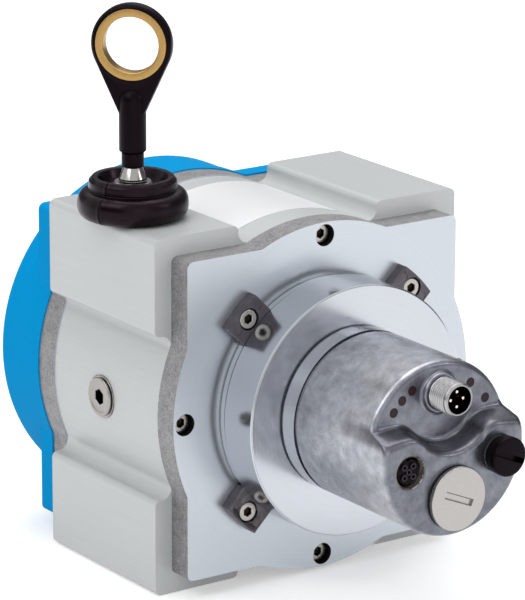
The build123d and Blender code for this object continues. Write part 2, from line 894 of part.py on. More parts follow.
def spring_housing():
    """The moulded housing of the drive spring: a flange like the plates, then a round drum with a closed back."""
    flange_back = plate_back + spring_flange_length
    back = plate_back + spring_housing_length
    shell = rod(spring_housing_r, back, plate_back)
    rim = shell.edges().filter_by(GeomType.CIRCLE).sort_by(Axis.Y)[-1]
    shell = fillet(rim, spring_edge_r)
    shell += bar(plate_outline(spring_flange_half_width, spring_flange_disc_r), flange_back, plate_back)
    shell -= rod(spring_room_r, back - spring_back_wall, plate_back)
    shell -= rod(tail_r + running_gap, back - 1, back - spring_back_wall)
    for x, z in tab_points():
        shell -= rod(m4_shank_r + fixed_gap, flange_back, plate_back, x, z)
        shell -= rod(m4_head_r + head_gap, back, flange_back - spring_tab_recess, x, z)
    return shell


def spring_housing_screws():
    """Four cap screws in the corner tabs of the spring housing."""
    head_y = plate_back + spring_flange_length - spring_tab_recess
    end_y = plate_back - spring_screw_reach()
    return [
        cap_screw(head_y, end_y, m4_shank_r, m4_head_r, m4_head_height, m4_key, x, z)
        for x, z in tab_points()
    ]


def leaf_side(start_r, growth):
    """One side of the spring's inner leaf: half circles that grow by the same amount each half turn."""
    side = []
    edge_x = start_r
    for k in range(spring_leaf_half_turns):
        radius = start_r + growth * (k + 0.5)
        sign = 1 if k % 2 == 0 else -1
        far_x = edge_x - sign * 2 * radius
        middle = ((edge_x + far_x) / 2, sign * radius)
        side.append(ThreePointArc((edge_x, 0), middle, (far_x, 0)))
        edge_x = far_x
    return side, edge_x


def power_spring():
    """The drive spring at rest: most turns lie packed against the housing and one leaf runs in to the arbor."""
    front = spring_front()
    pack = Circle(spring_room_r - air_gap) - Circle(spring_pack_r)
    start = arbor_r + air_gap
    growth = (spring_pack_r + spring_leaf - start) / spring_leaf_half_turns
    inner, inner_end = leaf_side(start, growth)
    outer, outer_end = leaf_side(start + spring_leaf, growth)
    ends = [Line((start, 0), (start + spring_leaf, 0)), Line((inner_end, 0), (outer_end, 0))]
    leaf = make_face(Curve() + inner + outer + ends)
    return bar(pack + leaf, front + spring_width, front)


def spring_front():
    """The station where the drive spring starts behind the rear plate."""
    return plate_back + (spring_housing_length - spring_back_wall - spring_width) / 2


def spring_arbor():
    """The hub on the shaft's tail that the drive spring turns."""
    front = spring_front()
    return tube(arbor_r, tail_r + fixed_gap, front + spring_width, front)


def wire_nozzle():
    """The threaded outlet for the wire, with a round head inside the bumper and a room for the wiper."""
    bottom = body_width - hollow_wall
    felt_bottom = bottom + 1
    nozzle = turned_upright(
        [
            (0, bottom),
            (nozzle_thread_r, bottom),
            (nozzle_thread_r, body_width),
            (nozzle_r, body_width),
            (nozzle_r, nozzle_top - 1),
            (nozzle_r - 1, nozzle_top),
            (0, nozzle_top),
        ],
        wire_x,
        wire_y,
    )
    nozzle -= Pos(wire_x, wire_y, (bottom + nozzle_top) / 2) * Cylinder(nozzle_bore_r, nozzle_top - bottom)
    return nozzle - Pos(wire_x, wire_y, (bottom + felt_bottom + felt_length) / 2) * Cylinder(
        felt_r, felt_bottom + felt_length - bottom
    )


def wire_wiper():
    """The felt ring that wipes the wire inside the nozzle."""
    bottom = body_width - hollow_wall + 1
    ring = Circle(felt_r - fixed_gap) - Circle(wire_r + fixed_gap)
    return extrude(Plane(origin=(wire_x, wire_y, bottom)) * ring, amount=felt_length)


def rubber_bumper():
    """The rubber ring on the corner block: a fat lower bead, a waist and a lip round an open mouth."""
    base = body_width
    seat_r = nozzle_r + air_gap
    bead = bumper_waist_height
    top = bumper_height
    return turned_upright(
        [
            (seat_r, base),
            (bumper_r - 2.4, base),
            (bumper_r - 0.7, base + 0.18 * bead),
            (bumper_r, base + 0.45 * bead),
            (bumper_r - 0.6, base + 0.75 * bead),
            (bumper_r - 2.3, base + 0.95 * bead),
            (bumper_waist_r, base + bead),
            (bumper_lip_r, base + bead + 0.45 * (top - bead)),
            (bumper_lip_r - 0.6, base + bead + 0.8 * (top - bead)),
            (bumper_lip_r - 1.9, base + top),
            (bumper_mouth_r, base + top - 0.5),
            (seat_r, base + 0.6 * top),
        ],
        wire_x,
        wire_y,
    )


def wire_end_cone():
    """The steel wire end: a cone that rests on the nozzle, and the pin that the pull eye turns on."""
    bottom = nozzle_top + air_gap
    top = bottom + cone_height
    pin_top = top + collar_length + swivel_pin_length - swivel_head_length
    end = turned_upright(
        [
            (0, bottom),
            (cone_base_r, bottom),
            (cone_base_r, bottom + 0.6),
            (cone_top_r, top),
            (swivel_pin_r, top),
            (swivel_pin_r, pin_top),
            (swivel_head_r, pin_top),
            (swivel_head_r, pin_top + swivel_head_length),
            (0, pin_top + swivel_head_length),
        ],
        wire_x,
        wire_y,
    )
    wire_seat = Pos(wire_x, wire_y, (bottom + top) / 2) * Cylinder(wire_r + fixed_gap, cone_height)
    return end - wire_seat


def swivel_collar():
    """The plastic collar between cone and pull eye."""
    bottom = nozzle_top + air_gap + cone_height
    ring = Circle(collar_r) - Circle(swivel_pin_r + fixed_gap)
    return extrude(Plane(origin=(wire_x, wire_y, bottom)) * ring, amount=collar_length)


def eye_plane(height):
    """The plane of the pull eye's head at a height above the nozzle's top: local y is +Z."""
    a = math.radians(eye_angle)
    return Plane(
        origin=(wire_x, wire_y, nozzle_top + height),
        x_dir=(math.cos(a), -math.sin(a), 0),
        z_dir=(-math.sin(a), -math.cos(a), 0),
    )


def eye_head():
    """The flat drop-shaped head: a round eye whose sides run down straight into the shank."""
    drop = eye_neck_height - eye_height
    reach = math.hypot(eye_neck_half_width, drop)
    turn = math.acos(eye_r / reach) + math.atan2(-drop, eye_neck_half_width)
    touch = (eye_r * math.cos(turn - math.pi), -eye_r * math.sin(turn - math.pi))
    side_x = abs(touch[0])
    side_y = -abs(touch[1])
    neck = [(side_x, side_y), (eye_neck_half_width, drop), (-eye_neck_half_width, drop), (-side_x, side_y)]
    outline = Circle(eye_r) + make_face(Polyline(*neck, close=True))
    return extrude(eye_plane(eye_height) * outline, amount=eye_thickness / 2, both=True)


def pull_eye():
    """The plastic pull eye: a shank with a domed end, and a flat head with a hole for its bush."""
    bottom = nozzle_top + 2 * air_gap + cone_height + collar_length
    top = bottom + shank_length
    centre = (wire_x, wire_y)
    shank = Pos(*centre, (bottom + top - shank_r) / 2) * Cylinder(shank_r, shank_length - shank_r)
    shank += Pos(*centre, top - shank_r) * Sphere(shank_r)
    eye = eye_head() + shank
    hole = extrude(eye_plane(eye_height) * Circle(eye_bush_r + fixed_gap), amount=eye_thickness, both=True)
    pin_top = nozzle_top + air_gap + cone_height + collar_length + swivel_pin_length
    head_bottom = pin_top - swivel_head_length - air_gap
    head_top = pin_top + air_gap
    room = Pos(*centre, (head_bottom + head_top) / 2) * Cylinder(swivel_head_r + running_gap, head_top - head_bottom)
    bore = Pos(*centre, (bottom + head_bottom) / 2) * Cylinder(swivel_pin_r + running_gap, head_bottom - bottom)
    return eye - hole - room - bore


def eye_bush():
    """The brass bush in the pull eye."""
    ring = Circle(eye_bush_r) - Circle(eye_bore_r)
    return extrude(eye_plane(eye_height) * ring, amount=eye_bush_thickness / 2, both=True)


def plug_side_plane(x):
    """The sketch plane of the side plug at a station x, facing outwards along -X."""
    return Plane(origin=(x, side_plug_y, axis_height - side_plug_drop), z_dir=(-1, 0, 0))


def side_plug():
    """The screw plug in the left side of the body."""
    seat_x = -barrel_r + side_seat_depth
    head_x = seat_x - side_seal_thickness
    plug = extrude(plug_side_plane(head_x) * Circle(side_plug_r), amount=side_plug_head)
    plug += extrude(plug_side_plane(head_x) * Circle(side_plug_thread_r), amount=-side_plug_thread_length)
    face_x = head_x - side_plug_head
    socket = RegularPolygon(side_plug_key / 2, 6, major_radius=False)
    return plug - extrude(plug_side_plane(face_x) * socket, amount=-side_plug_key_depth)


def side_plug_seal():
    """The ring seal under the side plug."""
    seat_x = -barrel_r + side_seat_depth
    ring = Circle(side_plug_r - 0.2) - Circle(side_plug_thread_r + fixed_gap)
    return extrude(plug_side_plane(seat_x) * ring, amount=side_seal_thickness)


def type_label():
    """The thin blank label on the barrel between the two upper corner blocks."""
    inner = barrel_r + fixed_gap / 2
    band = Circle(inner + label_thickness) - Circle(inner)
    window = Pos(0, barrel_r) * Rectangle(label_width, barrel_r)
    return bar(band & window, label_y + label_length / 2, label_y - label_length / 2)


def build():
    """Every node's name with its solid or group of solids."""
    return {
        "body_profile": body_profile(),
        "front_plate": front_plate(),
        "rear_plate": rear_plate(),
        "front_plate_screws": front_plate_screws(),
        "rear_plate_screws": rear_plate_screws(),
        "spring_housing": spring_housing(),
        "spring_housing_screws": spring_housing_screws(),
        "power_spring": power_spring(),
        "spring_arbor": spring_arbor(),
        "drum_shaft": drum_shaft(),
        "front_bearing": front_bearing(),
        "rear_bearing": rear_bearing(),
        "guide_sleeve": guide_sleeve(),
        "wire_drum": wire_drum(),
        "wire_winding": wire_winding(),
        "measuring_wire": measuring_wire(),
        "wire_nozzle": wire_nozzle(),
        "wire_wiper": wire_wiper(),
        "rubber_bumper": rubber_bumper(),
        "wire_end_cone": wire_end_cone(),
        "swivel_collar": swivel_collar(),
        "pull_eye": pull_eye(),
        "eye_bush": eye_bush(),
        "side_plug": side_plug(),
        "side_plug_seal": side_plug_seal(),
        "type_label": type_label(),
        "mounting_ring": mounting_ring(),
        "servo_clamps": servo_clamps(),
        "clamp_screws": clamp_screws(),
        "shaft_coupling": shaft_coupling(),
        "encoder_screws": encoder_screws(),
        "encoder_flange": encoder_flange(),
        "encoder_bearing": encoder_bearing(),
        "encoder_shaft": encoder_shaft(),
        "code_disc": code_disc(),
        "circuit_board": circuit_board(),
        "preset_switch": preset_switch(),
        "encoder_housing": encoder_housing(),
        "plug_shell": plug_shell(),
        "plug_insert": plug_insert(),
        "plug_pins": plug_pins(),
        "port_shell_left": port_shell(-1),
        "port_insert_left": port_insert(-1),
        "port_shell_right": port_shell(1),
        "port_insert_right": port_insert(1),
        "status_lenses": status_lenses(),
        "setting_cap": setting_cap(),
        "setting_cap_seal": setting_cap_seal(),
        "setting_button": setting_button(),
        "dust_cap": dust_cap(),
        "dust_cap_seal": dust_cap_seal(),
    }


for name, shape in build().items():
    node = Compound(children=list(shape)) if isinstance(shape, list) else shape
    export_step(node, f"parts/{name}.step")
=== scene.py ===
"""Looks of a draw wire encoder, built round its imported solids.

Sizes in the classes are in millimetres and angles in degrees; meshes are written in metres.
The drum axis runs along Y at a height of 65 mm, and the encoder looks towards -Y.
A corner in a list of corners is (a, b, radius of its arc); for a turned piece a is the radius and b the height.
"""

import json
import logging
import math
from collections.abc import Sequence
from dataclasses import dataclass
from enum import Enum
from typing import ClassVar, NamedTuple

import bmesh
import bpy
import numpy as np
from mathutils import Matrix, Vector


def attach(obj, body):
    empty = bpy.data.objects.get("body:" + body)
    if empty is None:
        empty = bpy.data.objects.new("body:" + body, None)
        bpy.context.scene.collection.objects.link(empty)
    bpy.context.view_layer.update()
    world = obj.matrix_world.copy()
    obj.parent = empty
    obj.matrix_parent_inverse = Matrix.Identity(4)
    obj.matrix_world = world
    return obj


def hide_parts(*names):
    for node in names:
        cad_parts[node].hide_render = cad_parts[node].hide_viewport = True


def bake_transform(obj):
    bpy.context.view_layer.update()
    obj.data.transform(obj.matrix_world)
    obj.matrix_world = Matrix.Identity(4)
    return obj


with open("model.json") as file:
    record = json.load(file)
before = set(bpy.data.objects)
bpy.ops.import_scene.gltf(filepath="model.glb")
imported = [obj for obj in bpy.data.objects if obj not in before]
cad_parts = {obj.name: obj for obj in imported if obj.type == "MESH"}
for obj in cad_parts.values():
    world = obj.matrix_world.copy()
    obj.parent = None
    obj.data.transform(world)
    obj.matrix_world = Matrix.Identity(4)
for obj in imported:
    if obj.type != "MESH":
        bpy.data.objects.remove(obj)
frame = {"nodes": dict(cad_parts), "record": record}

LOG = logging.getLogger("draw_wire_encoder")
MM = 0.001
AXIS_HEIGHT = 65.0
SHARP_ANGLE = 35.0
WIRE_PLACE = (-53.195, -2.5)

Array = np.ndarray
Piece = bpy.types.Object
Socket = bpy.types.NodeSocket
Pair = tuple[float, float]
Vec3 = tuple[float, float, float]
Colour = tuple[float, float, float]
Corners = Sequence[Vec3]

WHITE: Colour = (1.0, 1.0, 1.0)
# Colour of the shade that is painted into hollows.
SHADE_COLOUR: Colour = (0.02, 0.015, 0.012)


class Direction(Enum):
    """The directions that turned pieces face."""

    FRONT = (0.0, -1.0, 0.0)
    BACK = (0.0, 1.0, 0.0)
    LEFT = (-1.0, 0.0, 0.0)
    UP = (0.0, 0.0, 1.0)


# ---------------------------------------------------------------- surfaces


def linked(name: str, data: bpy.types.ID) -> Piece:
    """A new object of the scene that holds a mesh, a light or a camera.

    Args:
        name: its name.
        data: the mesh, light or camera that it holds.

    Returns:
        The object.
    """
    item = bpy.data.objects.new(name, data)
    bpy.context.scene.collection.objects.link(item)
    return item


def smoothed(mesh: bpy.types.Mesh, sharp: float = SHARP_ANGLE) -> None:
    """Shades a mesh smooth apart from edges that turn by more than an angle."""
    mesh.shade_smooth()
    mesh.set_sharp_from_angle(angle=math.radians(sharp))


def grid_quads(rows: int, columns: int, close_columns: bool = True) -> Array:
    """Quads between the neighbours of a grid of points.

    Args:
        rows: number of rows of points.
        columns: number of points in a row.
        close_columns: whether the last column joins the first.

    Returns:
        An (n, 4) array of point numbers: point (r, c) has the number r * columns + c.
    """
    row = np.arange(rows - 1)
    column = np.arange(columns if close_columns else columns - 1)
    r, c = np.meshgrid(row, column, indexing="ij")
    after = (c + 1) % columns
    quads = [r * columns + c, r * columns + after, (r + 1) * columns + after, (r + 1) * columns + c]
    return np.stack(quads, axis=-1).reshape(-1, 4)


def solid(name: str, points: Array, quads: Array, painted_shade: Array | None = None, sharp: float = SHARP_ANGLE) -> Piece:
    """A piece from points in millimetres and faces.

    Args:
        name: the piece's name.
        points: (n, 3) positions.
        quads: (m, 4) point numbers.
        painted_shade: (n,) values from 0 to 1 of the shade painted into hollows.
        sharp: edges that turn by more than this angle stay sharp.

    Returns:
        The object, with merged doubles and outward faces, smooth between its sharp edges.
    """
    mesh = bpy.data.meshes.new(name)
    mesh.vertices.add(len(points))
    mesh.vertices.foreach_set("co", (points * MM).astype(np.float32).ravel())
    mesh.loops.add(quads.size)
    mesh.loops.foreach_set("vertex_index", quads.astype(np.int32).ravel())
    mesh.polygons.add(len(quads))
    mesh.polygons.foreach_set("loop_start", np.arange(0, quads.size, 4, dtype=np.int32))
    mesh.update(calc_edges=True)
    if painted_shade is not None:
        mesh.attributes.new("painted_shade", "FLOAT", "POINT").data.foreach_set("value", painted_shade.astype(np.float32))
    shape = bmesh.new()
    shape.from_mesh(mesh)
    bmesh.ops.remove_doubles(shape, verts=shape.verts, dist=1e-6)
    bmesh.ops.dissolve_degenerate(shape, edges=shape.edges, dist=1e-7)
    bmesh.ops.recalc_face_normals(shape, faces=shape.faces)
    shape.to_mesh(mesh)
    shape.free()
    smoothed(mesh, sharp)
    return linked(name, mesh)


def surface(name: str, points: Array, painted_shade: Array | None = None, sharp: float = SHARP_ANGLE) -> Piece:
    """A piece whose mesh is a grid of points, each row of which is a ring.

    Args:
        name: the piece's name.
        points: (rows, columns, 3) positions in millimetres.
        painted_shade: (rows, columns) values from 0 to 1 of the shade painted into hollows.
        sharp: edges that turn by more than this angle stay sharp.

    Returns:
        The piece.
    """
    quads = grid_quads(*points.shape[:2])
    return solid(name, points.reshape(-1, 3), quads, None if painted_shade is None else painted_shade.ravel(), sharp)


def joined(name: str, shells: list[tuple[Array, Array]]) -> Piece:
    """One piece from several grids, kept as separate shells.

    Args:
        name: the piece's name.
        shells: (rows, columns, 3) positions and (rows, columns) painted shade values of each shell.

    Returns:
        The piece.
    """
    quads, start = [], 0
    for grid, _ in shells:
        quads.append(grid_quads(*grid.shape[:2]) + start)
        start += grid.shape[0] * grid.shape[1]
    points = np.concatenate([grid.reshape(-1, 3) for grid, _ in shells])
    return solid(name, points, np.concatenate(quads), np.concatenate([painted_shade.ravel() for _, painted_shade in shells]))


def rounded(corners: Corners, steps: int = 5) -> Array:
    """A polyline whose corners are arcs.

    The arc of a corner starts and ends where a circle of its radius touches both sides, at
    radius / tan(half the corner's angle) from the corner.

    Args:
        corners: the corners in order; a radius of 0 keeps the corner sharp.
        steps: points on each arc.

    Returns:
        An (n, 2) array of points.
    """
    at = np.array([c[:2] for c in corners])
    parts = [at[:1]]
    for before, here, after, corner in zip(at[:-2], at[1:-1], at[2:], corners[1:-1]):
        radius = corner[2]
        back, ahead = before - here, after - here
        back, ahead = back / np.linalg.norm(back), ahead / np.linalg.norm(ahead)
        half = math.acos(float(np.clip(back @ ahead, -1, 1))) / 2
        if radius <= 0 or half > math.pi / 2 - 1e-3:
            parts.append(here[None])
            continue
        middle = (back + ahead) / np.linalg.norm(back + ahead)
        centre = here + middle * radius / math.sin(half)
        first = here + back * radius / math.tan(half) - centre
        last = here + ahead * radius / math.tan(half) - centre
        share = np.linspace(0, 1, steps)[:, None]
        fan = first * (1 - share) + last * share
        parts.append(centre + radius * fan / np.linalg.norm(fan, axis=1, keepdims=True))
    parts.append(at[-1:])
    return np.concatenate(parts)


@dataclass(frozen=True)
class Spindle:
    """A line that pieces are turned about."""

    origin: Vec3
    along: Vec3

    def frame(self) -> Array:
        """The spindle's own directions.

        Returns:
            (3, 3) rows: the two directions across the line and the one along it.
        """
        along = np.array(self.along, float)
        seed = np.array((0.0, 0.0, 1.0)) if abs(along[2]) < 0.9 else np.array((1.0, 0.0, 0.0))
        side = np.cross(seed, along)
        side /= np.linalg.norm(side)
        return np.stack([np.cross(along, side), side, along])

    def place(self, radius: Array, angle: Array, height: Array) -> Array:
        """Points at radius, angle and height: origin + radius (cos a, sin a) across + height along.

        Args:
            radius: distances from the line.
            angle: turns in radians from +Z, or from +X towards -Y for a line that stands up.
            height: distances along the line.

        Returns:
            The points, with one more axis of three than the arguments.
        """
        across, side, along = self.frame()
        radius, angle, height = np.broadcast_arrays(radius, angle, height)
        point = np.array(self.origin) + radius[..., None] * np.cos(angle)[..., None] * across
        return point + radius[..., None] * np.sin(angle)[..., None] * side + height[..., None] * along


def around(segments: int) -> Array:
    """Equal turns round a full circle, without the last point that meets the first."""
    return np.linspace(0, 2 * np.pi, segments, endpoint=False)


def wrapped(angle: Array) -> Array:
    """The same angles from -pi to pi."""
    return np.angle(np.exp(1j * angle))


def on_circle(radius: float, degrees: float) -> Pair:
    """The place (x, z) at an angle from +X on a circle about the drum axis."""
    a = math.radians(degrees)
    return radius * math.cos(a), AXIS_HEIGHT + radius * math.sin(a)


def turned(name: str, spindle: Spindle, profile: Array, segments: int = 96) -> Piece:
    """A turned piece: each point (radius, height) of the profile runs once round the line.

    Args:
        name: the piece's name.
        spindle: the line it is turned about.
        profile: (n, 2) radii and heights in order along the skin.
        segments: points on each ring.

    Returns:
        The piece.
    """
    return surface(name, spindle.place(profile[:, :1], around(segments)[None, :], profile[:, 1:]))


def socketed(circles: Array, flats: Sequence[Pair], bottom: float, angle: Array) -> tuple[Array, Array]:
    """Radii and heights of a turned head with a hexagonal socket, ring by ring.

    The radius of a hexagon is half its width over the cosine of the angle to the nearest flat's middle.

    Args:
        circles: radii and heights of the round rings.
        flats: widths across flats and heights of the socket's rings.
        bottom: height of the socket's tip.
        angle: turns of the points on each ring, in radians.

    Returns:
        (rows, columns) radii and heights.
    """
    sixth = np.pi / 3
    rings = np.array([*circles, *flats, (0.0, bottom)], float)
    shape = np.ones((len(rings), angle.size))
    shape[len(circles):-1] = 0.5 / np.cos(np.mod(angle, sixth) - sixth / 2)
    return rings[:, :1] * shape, np.broadcast_to(rings[:, 1:], shape.shape)


def bored(piece: Piece, cutters: list[Piece]) -> None:
    """Takes the volumes of other closed pieces out of a closed piece and deletes them.

    Args:
        piece: the piece that is cut.
        cutters: the closed pieces that are taken away.
    """
    for cutter in cutters:
        cut = piece.modifiers.new("cut", "BOOLEAN")
        cut.operation, cut.solver, cut.object = "DIFFERENCE", "EXACT", cutter
    graph = bpy.context.evaluated_depsgraph_get()
    mesh = bpy.data.meshes.new_from_object(piece.evaluated_get(graph))
    piece.modifiers.clear()
    piece.data = mesh
    mesh.name = piece.name
    smoothed(mesh)
    for cutter in cutters:
        bpy.data.objects.remove(cutter)


def slot_bar(centre: Vec3, size: Vec3, degrees: float) -> Piece:
    """A box that cuts a slot into a face that looks towards -Y.

    Args:
        centre: middle of the slot on the face, in millimetres.
        size: the slot's length, width and depth.
        degrees: turn of the slot from +X towards +Z.

    Returns:
        The box, which also stands 1 mm proud of the face.
    """
    a = math.radians(degrees)
    length, width, depth = size
    signs = np.array([(i, j, k) for j in (-1, 1) for i, k in ((-1, -1), (1, -1), (1, 1), (-1, 1))], float)
    along, over = signs[:, 0] * length / 2, signs[:, 2] * width / 2
    x = centre[0] + along * math.cos(a) - over * math.sin(a)
    z = centre[2] + along * math.sin(a) + over * math.cos(a)
    points = np.stack([x, centre[1] + np.where(signs[:, 1] < 0, -1.0, depth), z], axis=1)
    quads = np.array([(0, 1, 2, 3), (4, 5, 6, 7), (0, 1, 5, 4), (1, 2, 6, 5), (2, 3, 7, 6), (3, 0, 4, 7)])
    return solid("slot_bar", points, quads)


def softened(name: str, node: str, width: float, shortest: float, flat: float = 0.5, turn: float = 40.0) -> Piece:
    """A copy of a node whose longer sharp edges are rounded a little.

    Args:
        name: the new piece's name.
        node: the CAD node that it copies.
        width: width of the rounding in millimetres.
        shortest: edges shorter than this stay sharp, in millimetres.
        flat: faces that turn by less than this are merged.
        turn: edges that turn by more than this are rounded.

    Returns:
        The piece, with a bevel on its edges.
    """
    mesh = frame["nodes"][node].data.copy()
    mesh.name = name
    shape = bmesh.new()
    shape.from_mesh(mesh)
    bmesh.ops.remove_doubles(shape, verts=shape.verts, dist=2e-6)
    level = math.radians(flat)
    even = [e for e in shape.edges if len(e.link_faces) == 2 and e.calc_face_angle(0) < level]
    bmesh.ops.dissolve_limit(shape, angle_limit=level, verts=shape.verts, edges=even)
    layer = shape.edges.layers.float.new("bevel_weight_edge")
    for edge in shape.edges:
        turns = len(edge.link_faces) == 2 and edge.calc_face_angle(0) > math.radians(turn)
        edge[layer] = 1.0 if turns and edge.calc_length() > shortest * MM else 0.0
    shape.to_mesh(mesh)
    shape.free()
    smoothed(mesh)
    piece = linked(name, mesh)
    bevel = piece.modifiers.new("soft edges", "BEVEL")
    bevel.width, bevel.segments, bevel.limit_method = width * MM, 3, "WEIGHT"
    bevel.harden_normals = True
    return piece


# ---------------------------------------------------------------- shading


class Graph:
    """A node tree with short ways to add and wire nodes."""

    def __init__(self, tree: bpy.types.NodeTree) -> None:
        """Keeps the tree that nodes are added to."""
        self.tree = tree

    def fill(self, node: bpy.types.Node, values: dict[str | int, object]) -> None:
        """Wires a node's inputs to other nodes' outputs, or sets their values.

        Args:
            node: the node.
            values: a socket, a number, a vector or a colour for each input, by the input's name or number.
        """
        for label, value in values.items():
            socket = node.inputs[label]
            if isinstance(value, Socket):
                self.tree.links.new(value, socket)
            else:
                socket.default_value = (*value, 1.0) if socket.type == "RGBA" else value

    def add(self, kind: str, values: dict[str | int, object] | None = None, **settings: object) -> bpy.types.Node:
        """Adds a node.

        Args:
            kind: the node's type.
            values: what its inputs take.
            settings: its properties.

        Returns:
            The node.
        """
        node = self.tree.nodes.new(kind)
        for key, value in settings.items():
            setattr(node, key, value)
        self.fill(node, values or {})
        return node

    def noise(self, vector: Socket, scale: Socket, detail: float, rough: float) -> Socket:
        """A noise value from 0 to 1."""
        values = {"Vector": vector, "Scale": scale, "Detail": detail, "Roughness": rough}
        return self.add("ShaderNodeTexNoise", values).outputs["Fac"]

    def vector(self, operation: str, *values: object) -> Socket:
        """A vector, or the one number that a length or a dot product gives."""
        node = self.add("ShaderNodeVectorMath", dict(enumerate(values)), operation=operation)
        return node.outputs["Value" if operation in ("LENGTH", "DOT_PRODUCT") else "Vector"]

    def maths(self, operation: str, *values: object) -> Socket:
        """A sum on one, two or three values."""
        return self.add("ShaderNodeMath", dict(enumerate(values)), operation=operation).outputs["Value"]

    def times(self, a: object, b: object) -> Socket:
        """The product of two values."""
        return self.maths("MULTIPLY", a, b)

    def within(self, value: Socket, low: float, high: float) -> Socket:
        """1 where a value in metres lies between two limits in millimetres."""
        return self.maths("COMPARE", value, (low + high) / 2 * MM, (high - low) / 2 * MM)

    def spread(self, value: object, low: object, high: object, start: float = 0.0, end: float = 1.0) -> Socket:
        """Maps low..high to start..end and stops at both ends."""
        labels = ("Value", "From Min", "From Max", "To Min", "To Max")
        return self.add("ShaderNodeMapRange", dict(zip(labels, (value, low, high, start, end)))).outputs["Result"]

    def mix(self, share: object, first: object, second: object) -> Socket:
        """A colour between two colours, which are the node's inputs 6 and 7 and its output 2."""
        return self.add("ShaderNodeMix", {"Factor": share, 6: first, 7: second}, data_type="RGBA").outputs[2]

    def parts(self, vector: Socket) -> tuple[Socket, ...]:
        """The three parts of a vector."""
        return tuple(self.add("ShaderNodeSeparateXYZ", {0: vector}).outputs)

    def flat(self, x: Socket, y: Socket) -> Socket:
        """A vector of two parts."""
        return self.add("ShaderNodeCombineXYZ", {"X": x, "Y": y}).outputs["Vector"]

    def seen(self) -> Socket:
        """1 for rays that see a surface directly, in a mirror or through glass.

        Returns:
            The mask.
        """
        path = self.add("ShaderNodeLightPath").outputs
        direct = self.maths("MAXIMUM", path["Is Camera Ray"], path["Is Transmission Ray"])
        return self.maths("MAXIMUM", direct, path["Is Glossy Ray"])

    def painted_shade(self) -> Socket:
        """The mesh's own values of painted shade in hollows, 0 where a mesh has none."""
        return self.add("ShaderNodeAttribute", attribute_name="painted_shade").outputs["Fac"]

    def facing(self) -> Socket:
        """1 on faces across Y and 0 on faces along it."""
        normal = self.add("ShaderNodeTexCoord").outputs["Normal"]
        return self.maths("ABSOLUTE", self.vector("DOT_PRODUCT", normal, Direction.BACK.value))

    def bump(self, height: Socket, distance: float) -> Socket:
        """A normal from a height of 0 to 1 over a distance in millimetres."""
        values = {"Strength": 1.0, "Distance": distance * MM, "Height": height}
        return self.add("ShaderNodeBump", values).outputs["Normal"]


class Effect(Graph):
    """A shader node group with named inputs and outputs, which several finishes share."""

    def __init__(self, name: str, inputs: dict[str, object], *outputs: str) -> None:
        """Makes the group and its sockets.

        Args:
            name: the group's name.
            inputs: the first value of each input, a vector or a number.
            outputs: the names of its outputs.
        """
        super().__init__(bpy.data.node_groups.new(name, "ShaderNodeTree"))
        for label, value in inputs.items():
            kind = "NodeSocketVector" if isinstance(value, tuple) else "NodeSocketFloat"
            self.tree.interface.new_socket(name=label, in_out="INPUT", socket_type=kind).default_value = value
        for label in outputs:
            self.tree.interface.new_socket(name=label, in_out="OUTPUT", socket_type="NodeSocketFloat")
        self.given = self.add("NodeGroupInput").outputs
        self.result = self.add("NodeGroupOutput")

    def closed(self, **values: Socket) -> bpy.types.NodeTree:
        """Wires the outputs and hands over the finished group."""
        self.fill(self.result, values)
        return self.tree


class Effects:
    """The shared effects, each built once."""

    def __init__(self) -> None:
        """Builds each group."""
        self.grain = self._grain()
        self.turning = self._turning()
        self.mottle = self._mottle()
        self.specks = self._specks()

    @staticmethod
    def _grain() -> bpy.types.NodeTree:
        """Grain drawn out along a direction: noise on coordinates that are scaled by Stretch.

        Returns:
            The group.
        """
        group = Effect("drawn grain", {"Vector": (0, 0, 0), "Stretch": (1, 1, 1), "Scale": 1000.0}, "Value")
        drawn = group.vector("MULTIPLY", group.given["Vector"], group.given["Stretch"])
        return group.closed(Value=group.spread(group.noise(drawn, group.given["Scale"], 4.0, 0.6), 0.25, 0.75))

    @staticmethod
    def _turning() -> bpy.types.NodeTree:
        """Lathe marks about a line along Y: noise of the distance from the line and of the station on it.

        Returns:
            The group.
        """
        inputs = {"Vector": (0, 0, 0), "Centre": (0, 0, 0), "Scale": 4000.0}
        group = Effect("turning marks", inputs, "Value", "Radius")
        local = group.vector("SUBTRACT", group.given["Vector"], group.given["Centre"])
        radius = group.vector("LENGTH", group.vector("MULTIPLY", local, (1.0, 0.0, 1.0)))
        station = group.vector("DOT_PRODUCT", local, Direction.BACK.value)
        value = group.noise(group.flat(radius, station), group.given["Scale"], 2.0, 0.7)
        return group.closed(Value=group.spread(value, 0.25, 0.75), Radius=radius)

    @staticmethod
    def _mottle() -> bpy.types.NodeTree:
        """Blotches of two sizes, as on tumbled or sawn metal.

        Returns:
            The group.
        """
        group = Effect("mottle", {"Vector": (0, 0, 0), "Scale": 300.0}, "Broad", "Fine")
        place, scale = group.given["Vector"], group.given["Scale"]
        broad = group.noise(place, scale, 5.0, 0.65)
        fine = group.noise(place, group.times(scale, 6.0), 3.0, 0.7)
        return group.closed(Broad=group.spread(broad, 0.3, 0.7), Fine=group.spread(fine, 0.3, 0.7))

    @staticmethod
    def _specks() -> bpy.types.NodeTree:
        """Small scattered specks: 1 close to the middles of random cells, fading to 0 at Size from them.

        Returns:
            The group.
        """
        group = Effect("specks", {"Vector": (0, 0, 0), "Scale": 300.0, "Size": 0.12}, "Mask")
        cells = group.add("ShaderNodeTexVoronoi", {"Vector": group.given["Vector"], "Scale": group.given["Scale"]})
        size = group.given["Size"]
        return group.closed(Mask=group.spread(cells.outputs["Distance"], size, group.times(size, 0.4)))


